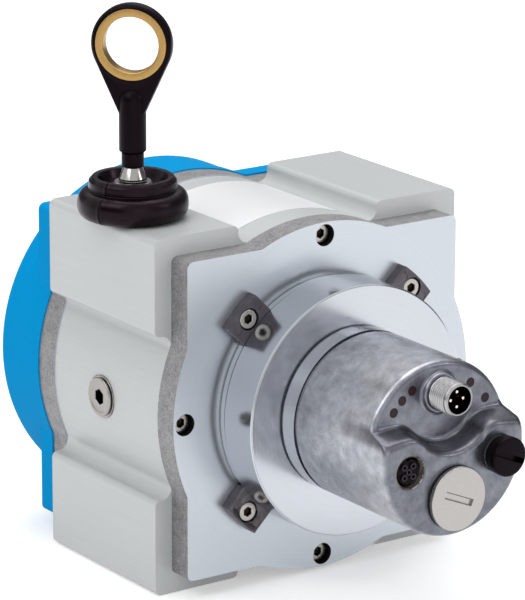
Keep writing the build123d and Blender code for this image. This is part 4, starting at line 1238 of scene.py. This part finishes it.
@dataclass
class PullEye(Assembly):
    """The black plastic pull eye with its brass bush."""

    body: ClassVar[str] = "pull_eye"
    eye_centre: Vec3 = (*WIRE_PLACE, 191.8)
    eye_turn: float = 46.5
    eye_r: float = 14.4
    hole_r: float = 12.74
    half_thickness: float = 2.8
    neck_drop: float = 26.0
    neck_half: float = 3.9
    shank_bottom: float = 153.6
    shank_top: float = 176.6
    shank_r: float = 4.8
    bush_half: float = 2.7
    bush_outer: float = 12.7
    bush_inner: float = 9.9

    def outer_radius(self, angle: Array) -> Array:
        """Where a ray from the eye's centre leaves the outline.

        The outline is the circle, then on each side a straight line that touches it, then the flat end.

        Args:
            angle: the rays' turns in radians.

        Returns:
            The radius for each ray.
        """
        corner = math.atan2(-self.neck_drop, self.neck_half)
        touch = corner + math.acos(self.eye_r / math.hypot(self.neck_half, self.neck_drop))
        outer = np.full(angle.size, self.eye_r)
        for ray in (wrapped(angle), wrapped(np.pi - angle)):
            outer = np.where((ray < touch) & (ray >= corner), self.eye_r / np.cos(ray - touch), outer)
        on_end = np.abs(wrapped(angle + np.pi / 2)) < abs(corner + np.pi / 2)
        return np.where(on_end, self.neck_drop / np.maximum(np.abs(np.sin(angle)), 1e-9), outer)

    def head_grid(self, columns: int = 320) -> Array:
        """The head as a section carried round the eye.

        For each ray the section runs from the hole over the raised rim and the rounded edge to the other
        side, between the hole's radius and the outline's.

        Args:
            columns: rays round the eye.

        Returns:
            (rows, columns, 3) positions in millimetres.
        """
        angle = around(columns)
        inner, outer = np.full(columns, self.hole_r), self.outer_radius(angle)
        h = self.half_thickness
        near = [(0.0, 0.0), (0.0, h - 0.15), (0.12, h), (0.6, h), (0.85, h - 0.28)]
        far = [(-0.75, h - 0.34), (-0.35, h - 0.62), (-0.1, h - 1.1), (0.0, h - 1.7), (0.0, 0.0)]
        first, last = inner + near[-1][0], outer + far[0][0]
        between = (0.25, 0.5, 0.75)
        radii = [inner + step for step, _ in near] + [first * (1 - s) + last * s for s in between]
        heights = [value for _, value in near] + [near[-1][1] * (1 - s) + far[0][1] * s for s in between]
        radii += [outer + step for step, _ in far]
        heights += [value for _, value in far]
        radius = np.stack(radii + radii[-2::-1])
        height = np.array(heights + [-value for value in heights[-2::-1]])[:, None]
        a = math.radians(self.eye_turn)
        across = np.array((math.cos(a), -math.sin(a), 0.0))
        flat = radius[..., None] * (np.cos(angle)[:, None] * across + np.sin(angle)[:, None] * np.array((0, 0, 1.0)))
        return np.array(self.eye_centre) + flat + height[..., None] * np.array(self.facing())

    def facing(self) -> Vec3:
        """The direction that the eye's hole looks in."""
        a = math.radians(self.eye_turn)
        return -math.sin(a), -math.cos(a), 0.0

    def build(self) -> None:
        """Builds the head, the shank with its domed top, and the brass bush with bevelled edges."""
        head = surface("eye_head", self.head_grid(), sharp=50.0)
        self.finish_piece(head, "black_plastic", "black_plastic")
        height, r = self.shank_top - self.shank_bottom, self.shank_r
        t = np.radians(np.linspace(0, 90, 14))
        dome = np.stack([r * np.cos(t), height - r + r * np.sin(t)], axis=1)
        body = rounded([(2.5, 0, 0), (4.6, 0, 0.2), (r, 0.3, 0.2), (r, height - r, 0)], 4)
        spindle = Spindle((*WIRE_PLACE, self.shank_bottom), Direction.UP.value)
        shank = turned("eye_shank", spindle, np.concatenate([[(0.0, 0.0)], body, dome[1:]]))
        self.finish_piece(shank, "black_plastic", "black_plastic", "pull_eye")
        half, outer, inner = self.bush_half, self.bush_outer, self.bush_inner
        section = rounded([
            (outer, 0, 0), (outer, half, 0.2), (inner, half, 0.45), (inner, -half, 0.45), (outer, -half, 0.2),
            (outer, 0, 0),
        ])
        bush = turned("brass_bush", Spindle(self.eye_centre, self.facing()), section, 160)
        self.finish_piece(bush, "brass", "brass", "eye_bush")


@dataclass
class EncoderHead(Assembly):
    """The encoder: its cast housing and the threaded shells of its connectors."""

    radius: float = 30.0
    back: float = -69.8
    lower_face: float = -120.6
    upper_face: float = -110.7
    inner_face: float = -107.7
    room_r: float = 27.3
    ledge_r: float = 24.8
    ledge: float = -93.2
    rim_r: float = 2.4
    shoulder: float = 9.7
    bowl_centre: float = 19.0
    bowl_r: float = 17.2
    shoulder_r: float = 10.0
    draft: float = 1.7
    foot_r: float = 1.8
    crest_r: float = 2.2
    # Painted shade on the step's wall, standing for the dark that the wall mirrors: its strength, and where it rises
    # and falls across the wall.
    wall_painted_shade: float = 0.75
    wall_start: Pair = (-1.1, 1.2)
    wall_end: Pair = (2.7, 1.1)
    flare: float = 0.9
    flare_start: float = 15.0
    flare_length: float = 13.0
    near_rows: tuple[float, ...] = (
        -2.6, -2.0, -1.5, -1.3, -1.1, -0.9, -0.7, -0.5, -0.3, -0.15, 0.0, 0.12, 0.25, 0.5, 0.85, 1.2, 1.45, 1.6, 1.75,
        1.9, 2.1, 2.3, 2.6, 2.9, 3.2, 3.5, 4.2, 5.2,
    )
    lens_angles: tuple[float, ...] = (34.0, 56.0, 118.0, 130.0, 142.0)
    lens_circle: float = 24.2
    lens_r: float = 1.75
    lens_depth: float = 1.0
    port_places: tuple[Pair, ...] = ((-19.044, 61.298), (19.044, 61.298))
    port_r: float = 6.54
    port_mouth_r: float = 5.9
    port_thread_start: float = 4.0
    insert_front: float = -119.1
    contact_circle: float = 2.6
    tube_section: Corners = ((0.66, -0.3, 0), (1.15, -0.3, 0), (1.15, 0.75, 0.15), (0.66, 0.75, 0.12), (0.66, -0.3, 0))
    setting_place: Pair = (0.0, 49.0)
    setting_r: float = 9.6
    setting_depth: float = 10.0
    plug_place: Vec3 = (0.0, -110.7, 84.0)
    plug_length: float = 11.6
    thread_start: float = 2.2
    thread_r: float = 6.0
    thread_depth: float = 0.5
    thread_fade: float = 0.6
    pitch: float = 1.0
    mouth_r: float = 4.9
    mouth_floor: float = 3.0
    lip_r: float = 5.35
    boss_r: float = 7.3

    def build(self) -> None:
        """Builds the housing, the upper connector's shell and the shells and contacts of both ports."""
        self.housing()
        self.plug_shell()
        for side, place in zip(("left", "right"), self.port_places):
            self.port_shell(side, place)
            self.contact_tubes(side, place)

    def outline(self, x: Array) -> tuple[Array, Array]:
        """Height of the step's foot above the axis, and its slope, at places across the end.

        The curve is the shoulder line, an arc of shoulder_r that leaves it, and then the bowl's circle. The
        arc's centre lies shoulder_r under the line and shoulder_r outside the bowl.

        Args:
            x: distances from the middle.

        Returns:
            Heights and slopes.
        """
        drop = self.bowl_centre - self.shoulder + self.shoulder_r
        reach = self.bowl_r + self.shoulder_r
        turn_x = math.sqrt(reach**2 - drop**2)
        join_x = turn_x * self.bowl_r / reach
        side = np.abs(x)
        in_bowl, in_arc = self.bowl_r**2 - side**2, self.shoulder_r**2 - (side - turn_x) ** 2
        bowl = self.bowl_centre - np.sqrt(np.clip(in_bowl, 0, None))
        arc = self.shoulder - self.shoulder_r + np.sqrt(np.clip(in_arc, 0, None))
        height = np.where(side < join_x, bowl, np.where(side < turn_x, arc, self.shoulder))
        slope_bowl = side / np.sqrt(np.clip(in_bowl, 1e-3, None))
        slope_arc = (turn_x - side) / np.sqrt(np.clip(in_arc, 1e-3, None))
        return height, np.where(side < join_x, slope_bowl, np.where(side < turn_x, slope_arc, 0.0))

    def across(self, x: Array, z: Array) -> Array:
        """Distance from the step's foot towards the lower face: the height below the outline over its secant."""
        height, slope = self.outline(x)
        return (height - z) / np.sqrt(1 + slope**2) / self.widening(x)

    def widening(self, x: Array) -> Array:
        """How much wider the step's wall is near the rim: 1 + flare s^2, s from 0 at flare_start to 1 at its end."""
        return 1 + self.flare * np.clip((np.abs(x) - self.flare_start) / self.flare_length, 0, 1) ** 2

    def level(self, x: Array, z: Array) -> Array:
        """Station of the end's skin: the step's section read at the distance from its foot.

        The section runs along the upper face, over an arc of foot_r onto the drafted wall, and over an arc of
        crest_r onto the lower face.

        Args:
            x: distances from the middle.
            z: heights above the axis.

        Returns:
            Stations along the axis.
        """
        far = 2 * self.radius
        section = rounded([
            (-far, self.upper_face, 0), (0.0, self.upper_face, self.foot_r),
            (self.draft, self.lower_face, self.crest_r), (far, self.lower_face, 0),
        ], 14)
        return np.interp(self.across(x, z), section[:, 0], section[:, 1])

    def shade(self, x: Array, z: Array) -> Array:
        """How much painted shade the step's wall takes: full between foot and crest, and nothing on both faces.

        Args:
            x: distances from the middle.
            z: heights above the axis.

        Returns:
            Painted shade values.
        """
        d = self.across(x, z)
        (first, rise), (last, fall) = self.wall_start, self.wall_end
        return self.wall_painted_shade * np.clip((d - first) / rise, 0, 1) * np.clip((last - d) / fall, 0, 1)

    def turns(self) -> Array:
        """Turns over half a circle from +X, closer together where the step meets the rim.

        Returns:
            Angles in radians.
        """
        even = np.linspace(0, 180, 151)
        near = math.degrees(math.asin(self.shoulder / self.radius))
        close = np.concatenate([near + np.linspace(-11, 6, 52), 180 - near + np.linspace(-6, 11, 52)])
        return np.radians(np.unique(np.round(np.concatenate([even, close]), 3)))

    def end_face(self, half: Array, inner: float) -> tuple[Array, Array]:
        """The end face: columns across x whose rows lie at fixed distances from the step's outline.

        Args:
            half: the turns of the columns' ends on the rim.
            inner: radius of the rim's inner edge.

        Returns:
            (columns, rows, 3) positions in millimetres, and (columns, rows) painted shade values.
        """
        x, end = inner * np.cos(half), (inner * np.sin(half))[:, None]
        height, slope = self.outline(x)
        secant = np.sqrt(1 + slope**2) * self.widening(x)
        rows = height[:, None] - np.array(self.near_rows)[None, ::-1] * secant[:, None]
        below = rows[:, :1] + (-end - rows[:, :1]) * np.linspace(1, 0, 13)[None, :-1]
        above = rows[:, -1:] + (end - rows[:, -1:]) * np.linspace(0, 1, 9)[None, 1:]
        z = np.clip(np.concatenate([below, rows, above], axis=1), -end, end)
        z[:, 0], z[:, -1] = -end[:, 0], end[:, 0]
        wide = np.broadcast_to(x[:, None], z.shape)
        return np.stack([wide, self.level(wide, z), z + AXIS_HEIGHT], axis=-1), self.shade(wide, z)

    def rim_and_side(self, half: Array, inner: float) -> tuple[Array, Array]:
        """The rings of the rounded rim, the side and the room inside.

        Args:
            half: the turns of the end face's columns.
            inner: radius of the rim's inner edge.

        Returns:
            (rings, turns, 3) positions in millimetres, and (rings, turns) painted shade values.
        """
        full = np.concatenate([half, 2 * np.pi - half[-2:0:-1]])[None, :]
        bend = np.radians(np.linspace(0, 90, 9))[:, None]
        rim = inner + self.rim_r * np.sin(bend)
        rim_x, rim_z = rim * np.cos(full), rim * np.sin(full)
        rim_y = self.level(rim_x, rim_z) + self.rim_r * (1 - np.cos(bend))
        side = np.array([
            (self.radius, self.back - 20), (self.radius, self.back), (self.room_r, self.back),
            (self.room_r, self.ledge), (self.ledge_r, self.ledge), (self.ledge_r, self.inner_face),
            (0.0, self.inner_face),
        ])
        x = np.concatenate([rim_x, side[:, :1] * np.cos(full)])
        y = np.concatenate([rim_y, np.broadcast_to(side[:, 1:], (len(side), full.size))])
        z = np.concatenate([rim_z, side[:, :1] * np.sin(full)])
        painted_shade = np.concatenate([self.shade(rim_x, rim_z), np.zeros((len(side), full.size))])
        return np.stack([x, y, z + AXIS_HEIGHT], axis=-1), painted_shade

    def housing(self) -> None:
        """The cast housing: end face, rounded rim, side, and the room inside, bored for ports and windows, with painted
        shade on the step's wall.
        """
        half, inner = self.turns(), self.radius - self.rim_r
        face, face_painted_shade = self.end_face(half, inner)
        rings, ring_painted_shade = self.rim_and_side(half, inner)
        quads = np.concatenate([
            grid_quads(*face.shape[:2], close_columns=False),
            grid_quads(*rings.shape[:2]) + face.shape[0] * face.shape[1],
        ])
        points = np.concatenate([face.reshape(-1, 3), rings.reshape(-1, 3)])
        piece = solid("cast_encoder_housing", points, quads, np.concatenate([face_painted_shade.ravel(), ring_painted_shade.ravel()]))
        front = self.lower_face - 3
        cutters = [self.bore(place, self.port_r, front, self.inner_face + 5) for place in self.port_places]
        cutters.append(self.bore(self.setting_place, self.setting_r, front, self.lower_face + self.setting_depth))
        for degrees in self.lens_angles:
            place = on_circle(self.lens_circle, degrees)
            cutters.append(self.bore(place, self.lens_r, self.upper_face - 3, self.upper_face + self.lens_depth))
        bored(piece, cutters)
        self.finish_piece(piece, "cast_housing", "cast_housing", "encoder_housing")

    @staticmethod
    def bore(place: Pair, radius: float, front: float, back: float) -> Piece:
        """A round bar along Y that is taken out of the housing.

        Args:
            place: x and z of its axis.
            radius: its radius.
            front: y of its front end.
            back: y of its back end.

        Returns:
            The bar.
        """
        profile = np.array([(0, 0), (radius, 0), (radius, back - front), (0, back - front)], float)
        return turned("bore", Spindle((place[0], front, place[1]), Direction.BACK.value), profile, 64)

    def thread(self, station: Array, angle: Array, start: float, stop: float) -> Array:
        """How deep a thread cuts: a triangle wave of station / pitch - turns that fades out at both ends.

        Args:
            station: places along the thread.
            angle: turns in radians.
            start: where the thread starts.
            stop: where it ends.

        Returns:
            Depths for each station and turn.
        """
        wave = np.abs(2 * np.mod(station / self.pitch - angle / (2 * np.pi), 1.0) - 1)
        fade_in = np.clip((station - start) / self.thread_fade, 0, 1)
        fade_out = np.clip((stop - station) / self.thread_fade, 0, 1)
        return self.thread_depth * wave * fade_in * fade_out

    def plug_shell(self) -> None:
        """The upper shell in its cast boss: a thread that runs out at both ends, a plain rim and the mouth."""
        angle = around(96)[None, :]
        start, stop, top, floor = self.thread_start, self.plug_length - 1.0, self.plug_length, self.mouth_floor
        spindle = Spindle(self.plug_place, Direction.FRONT.value)
        wide, snug = self.boss_r + 0.9, self.thread_r + 0.15
        boss = rounded([
            (0, -0.5, 0), (wide, -0.5, 0), (wide, 0.0, 0), (self.boss_r, 0.25, 0.4), (self.boss_r - 0.2, 1.9, 0.7),
            (snug, 1.9, 0.1), (snug, 1.0, 0), (0, 1.0, 0),
        ], 6)
        self.finish_piece(turned("plug_boss", spindle, boss), "cast_housing", "cast_housing")
        collar = np.array([(0, -3.0), (self.thread_r, -3.0), (self.thread_r, start)])
        station = np.linspace(start, stop, 130)[:, None]
        end = rounded([
            (self.thread_r, stop, 0), (self.thread_r, top - 0.75, 0.15), (self.lip_r, top, 0.12),
            (self.mouth_r, top, 0.1), (self.mouth_r, top - 0.5, 0), (self.mouth_r, floor, 0), (0, floor, 0),
        ])
        groove = self.thread(station, angle, start, stop)
        radius = np.concatenate([collar[:, :1] + 0 * angle, self.thread_r - groove, end[:, :1] + 0 * angle])
        height = np.concatenate([collar[:, 1:], station, end[:, 1:]]) + 0 * angle
        # Painted shade: darker deep in the thread, a little on the rim's edge, full in the mouth.
        painted_shade = np.zeros_like(radius)
        painted_shade[len(collar):-len(end)] = 0.85 * (groove / self.thread_depth) ** 2
        painted_shade[(height > top - 0.8) & (radius < self.thread_r - 0.05) & (radius > self.mouth_r + 0.05)] = 0.3
        painted_shade[-3:] = 1.0
        piece = surface("threaded_plug_shell", spindle.place(radius, angle, height), painted_shade)
        self.finish_piece(piece, "bright_nickel", "nickel", "plug_shell")

    def port_shell(self, side: str, place: Pair) -> None:
        """A port's shell: a sleeve with a thread inside its mouth.

        Args:
            side: which port.
            place: x and z of its axis.
        """
        angle = around(96)[None, :]
        length, outer, mouth = self.inner_face - self.lower_face, self.port_r - 0.04, self.port_mouth_r
        start, stop = self.port_thread_start, length - 0.4
        outside = rounded(
            [(mouth, 0, 0), (outer, 0, 0), (outer, length, 0.15), (mouth + 0.25, length, 0.1), (mouth, stop, 0)], 4
        )
        station = np.linspace(stop, start, 90)[:, None]
        inside = mouth - 0.4 + self.thread(station, angle, start, stop)
        inside[0], inside[-1] = mouth, mouth
        radius = np.concatenate([outside[:, :1] + 0 * angle, inside, mouth + 0 * angle])
        height = np.concatenate([outside[:, 1:], station, np.zeros((1, 1))])
        # Painted shade: dark in the thread inside the mouth, darkest in its valleys, and full at the mouth's inner end.
        painted_shade = np.zeros_like(radius)
        painted_shade[len(outside):-1] = np.clip(0.6 + 0.4 * (inside - mouth + 0.4) / self.thread_depth, 0, 1)
        painted_shade[-1] = 1.0
        spindle = Spindle((place[0], self.inner_face, place[1]), Direction.FRONT.value)
        piece = surface(f"threaded_port_shell_{side}", spindle.place(radius, angle, height), painted_shade)
        self.finish_piece(piece, "port_nickel", "nickel", f"port_shell_{side}")

    def contact_tubes(self, side: str, place: Pair) -> None:
        """The raised tubes round the five contact holes of a port's insert.

        Args:
            side: which port.
            place: x and z of its axis.
        """
        turns = [math.radians(45 + 90 * k) for k in range(4)]
        spots = [(0.0, 0.0)] + [(self.contact_circle * math.cos(t), self.contact_circle * math.sin(t)) for t in turns]
        section, angle, shells = rounded(self.tube_section, 4), around(32)[None, :], []
        for x, z in spots:
            spindle = Spindle((place[0] + x, self.insert_front, place[1] + z), Direction.FRONT.value)
            grid = spindle.place(section[:, :1], angle, section[:, 1:])
            shells.append((grid, np.zeros(grid.shape[:2])))
        self.finish_piece(joined(f"contact_tubes_{side}", shells), "insert_plastic", "black_plastic")


@dataclass
class SettingCap(Assembly):
    """The slotted metal cap over the setting port."""

    body: ClassVar[str] = "cap"
    centre: Pair = (0.0, 49.0)
    seat: float = -121.3
    thickness: float = 1.7
    radius: float = 11.4
    shank_r: float = 9.5
    shank_length: float = 5.6
    slot: Vec3 = (12.4, 1.9, 0.9)
    slot_edge: Vec3 = (0.2, 0.7, 0.12)
    slot_turn: float = -23.0
    slot_reach: float = 7.5
    # Painted shade in the slot: its strength, and the depths between which it is painted.
    slot_shade_strength: float = 0.7
    shade_depths: Pair = (0.05, 2.0)
    step_depth: float = 0.4
    wall_tilt: float = 0.5
    endwise_share: float = 0.7

    def build(self) -> None:
        """Builds the cap as one turned piece and cuts its slot, with a shallow wider step at its edge."""
        spindle = Spindle((self.centre[0], self.seat + self.shank_length, self.centre[1]), Direction.FRONT.value)
        low, high = self.shank_length, self.shank_length + self.thickness
        profile = rounded([
            (0, 0, 0), (self.shank_r, 0, 0.3), (self.shank_r, low, 0), (self.radius - 0.1, low, 0.05),
            (self.radius, low + 0.3, 0.2), (self.radius, high, 0.35), (0, high, 0),
        ])
        piece = turned("slotted_setting_cap", spindle, profile, 128)
        face = (self.centre[0], self.seat - self.thickness, self.centre[1])
        length, width, _ = self.slot
        longer, wider, step = self.slot_edge
        cuts = (self.slot, (length + longer, width + wider, step))
        bored(piece, [slot_bar(face, size, self.slot_turn) for size in cuts])
        self.paint_slot_shade(piece, face)
        self.finish_piece(piece, "nickel", "nickel", "setting_cap")

    def paint_slot_shade(self, piece: Piece, centre: Vec3) -> None:
        """Marks the slot's long walls and the step at its edge with painted shade, which the finish darkens.

        Args:
            piece: the cap with its slot.
            centre: the middle of the slot on the face.
        """
        faces = piece.data.polygons
        middle, normal = np.empty(len(faces) * 3), np.empty(len(faces) * 3)
        faces.foreach_get("center", middle)
        faces.foreach_get("normal", normal)
        middle, normal = middle.reshape(-1, 3) / MM - np.array(centre), normal.reshape(-1, 3)
        near, depth = np.hypot(middle[:, 0], middle[:, 2]) < self.slot_reach, middle[:, 1]
        first, last = self.shade_depths
        behind = near & (depth > first) & (depth < last)
        turn = math.radians(self.slot_turn)
        endwise = np.abs(normal[:, 0] * math.cos(turn) + normal[:, 2] * math.sin(turn)) > self.endwise_share
        is_wall = np.abs(normal[:, 1]) < self.wall_tilt
        # Painted shade on the slot's long walls and on the floor of the step at its edge.
        dark = behind & np.where(is_wall, ~endwise, depth < self.step_depth)
        painted_shade = piece.data.attributes.new("painted_shade", "FLOAT", "FACE").data
        painted_shade.foreach_set("value", (dark * self.slot_shade_strength).astype(np.float32))


@dataclass
class DustCap(Assembly):
    """The slotted black cap in the right port."""

    body: ClassVar[str] = "dust_cap"
    centre: Pair = (19.044, 61.298)
    seat: float = -121.2
    length: float = 5.3
    radius: float = 7.0
    waist: float = 0.15
    edge: float = 0.6
    shank_r: float = 5.2
    shank_length: float = 6.0
    hollow_r: float = 4.6
    hollow_end: float = 0.8
    slot: Pair = (2.0, 2.8)
    slot_rim: float = 0.35
    slot_turn: float = -23.0

    def build(self) -> None:
        """Builds the cap's head with a waist behind its rim, and cuts its slot right across."""
        spindle = Spindle((self.centre[0], self.seat, self.centre[1]), Direction.FRONT.value)
        waist_r = self.radius - self.waist
        profile = rounded([
            (0, -self.hollow_end, 0), (self.hollow_r, -self.hollow_end, 0), (self.hollow_r, -self.shank_length, 0),
            (self.shank_r, -self.shank_length, 0.2), (self.shank_r, 0.0, 0), (self.radius - 0.5, 0.0, 0.1),
            (waist_r, 0.5, 0.2), (waist_r, 2.2, 0.2), (self.radius, 2.5, 0.2), (self.radius, self.length, self.edge),
            (0, self.length, 0),
        ], 6)
        piece = turned("slotted_dust_cap", spindle, profile, 128)
        face = (self.centre[0], self.seat - self.length, self.centre[1])
        bored(piece, [slot_bar(face, (2 * (self.radius - self.slot_rim), *self.slot), self.slot_turn)])
        self.finish_piece(piece, "black_plastic", "black_plastic", "dust_cap")


# ---------------------------------------------------------------- studio


class Lamp(NamedTuple):
    """A square area lamp: its name, its place and side in metres, and its power."""

    name: str
    place: Vec3
    size: float
    power: float


@dataclass
class Studio:
    """Floor, cards, light, background and camera; places are in metres."""

    floor_half: float = 3.0
    floor_height: float = -0.0002
    floor_glow: float = 0.34
    world_light: float = 0.55
    cards: ClassVar[dict[str, list[Vec3]]] = {
        "card_behind": [(-0.6, 1.3, 0.05), (2.4, 1.3, 0.05), (2.4, 1.3, 0.8), (-0.6, 1.3, 0.8)],
        "card_right": [(1.5, -1.4, 0.02), (1.5, 1.2, 0.02), (1.5, 1.2, 1.2), (1.5, -1.4, 1.2)],
        "card_front": [(0.25, -1.5, 0.28), (1.5, -1.5, 0.28), (1.5, -1.5, 1.0), (0.25, -1.5, 1.0)],
        "card_left": [(-1.6, -1.2, 0.02), (-1.6, 0.9, 0.02), (-1.6, 0.9, 0.7), (-1.6, -1.2, 0.7)],
    }
    lamps: ClassVar[tuple[Lamp, ...]] = (
        Lamp("key", (-1.4, -0.2, 1.6), 1.2, 12.5),
        Lamp("fill", (1.1, -1.5, 0.85), 0.5, 5.0),
        Lamp("front", (-0.6, -1.8, 0.5), 1.0, 2.0),
        Lamp("top", (0.3, 0.2, 2.0), 1.5, 18.5),
    )
    lamp_target: Vec3 = (0.0, 0.0, 0.08)
    camera_place: Vec3 = (-0.77159, -1.10641, 0.48032)
    forward: Vec3 = (0.55150, 0.78651, -0.27794)
    right: Vec3 = (0.81948, -0.57309, 0.00433)
    focal_pixels: float = 3879.0
    picture_height: float = 600.0
    sensor: float = 36.0

    def build(self) -> None:
        """Builds the whole studio."""
        self.build_floor()
        self.build_cards()
        self.build_world()
        self.build_lamps()
        self.build_camera()
        bpy.context.scene.view_settings.view_transform = "Standard"

    @staticmethod
    def plain(name: str, colour: Colour, roughness: float) -> tuple[bpy.types.Material, Graph, bpy.types.Node]:
        """A plain material for the studio.

        Args:
            name: its name.
            colour: its colour.
            roughness: its roughness.

        Returns:
            The material, its nodes and its shader.
        """
        material = bpy.data.materials.new(name)
        material.use_nodes = True
        graph, shader = Graph(material.node_tree), material.node_tree.nodes["Principled BSDF"]
        graph.fill(shader, {"Base Color": colour, "Roughness": roughness})
        return material, graph, shader

    @staticmethod
    def sheet(name: str, corners: Corners, material: bpy.types.Material) -> Piece:
        """A flat sheet.

        Args:
            name: its name.
            corners: its four corners in order round it, in metres.
            material: its material.

        Returns:
            The sheet.
        """
        mesh = bpy.data.meshes.new(name)
        mesh.from_pydata(corners, [], [(0, 1, 2, 3)])
        mesh.materials.append(material)
        return linked(name, mesh)

    def build_floor(self) -> None:
        """A wide pale floor just under the base, which the camera and glossy surfaces see as white."""
        material, graph, shader = self.plain("pale floor", (0.9, 0.9, 0.9), 0.7)
        glow = graph.times(graph.seen(), self.floor_glow)
        graph.fill(shader, {"Emission Color": WHITE, "Emission Strength": glow})
        half, low = self.floor_half, self.floor_height
        plane = self.sheet(
            "studio_floor", [(-half, -half, low), (half, -half, low), (half, half, low), (-half, half, low)], material
        )

    def build_cards(self) -> None:
        """Dark grey cards that only reflections see, so that bright metal has something to mirror."""
        material = self.plain("grey card", (0.16, 0.16, 0.18), 0.9)[0]
        for name, corners in self.cards.items():
            card = self.sheet(name, corners, material)
            card.visible_camera = card.visible_diffuse = card.visible_shadow = False

    def build_world(self) -> None:
        """A white background for camera, glossy and transmission rays, and a plain light for the rest."""
        world = bpy.data.worlds.new("studio")
        bpy.context.scene.world = world
        world.use_nodes = True
        graph = Graph(world.node_tree)
        world.node_tree.nodes.clear()
        strength = graph.spread(graph.seen(), 0, 1, self.world_light, 1.0)
        background = graph.add("ShaderNodeBackground", {"Color": WHITE, "Strength": strength})
        graph.add("ShaderNodeOutputWorld", {"Surface": background.outputs["Background"]})

    def build_lamps(self) -> None:
        """A large soft key above on the left, a top light, and two weaker lamps in front; all face the object."""
        for name, place, size, power in self.lamps:
            data = bpy.data.lights.new(name, "AREA")
            data.size, data.energy = size, power
            lamp = linked(name, data)
            lamp.location = place
            backwards = Vector(np.array(place) - np.array(self.lamp_target))
            lamp.rotation_euler = backwards.to_track_quat("Z", "Y").to_euler()

    def build_camera(self) -> None:
        """The camera at the photograph's place, from the fitted directions."""
        data = bpy.data.cameras.new("photo_view")
        data.sensor_width = self.sensor
        data.lens = self.focal_pixels / self.picture_height * self.sensor
        data.clip_end = 100.0
        camera = linked("photo_view", data)
        forward, right = Vector(self.forward).normalized(), Vector(self.right).normalized()
        turn = Matrix((right, right.cross(forward), -forward)).transposed().to_4x4()
        camera.matrix_world = Matrix.Translation(Vector(self.camera_place)) @ turn
        bpy.context.scene.camera = camera


def main() -> None:
    """Builds everything in order."""
    logging.basicConfig(level=logging.INFO, format="%(name)s: %(message)s")
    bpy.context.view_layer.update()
    finishes = Finishes()
    finishes.dress_nodes()
    finishes.dress(frame["nodes"]["servo_clamps"], "clamp_aluminium")
    for assembly in (Barrel, WireOutlet, MeasuringWire, WireEnd, PullEye, EncoderHead, SettingCap, DustCap):
        LOG.info("building %s", assembly.__name__)
        assembly(finishes).build()
    Studio().build()


if __name__ == "__main__":
    main()
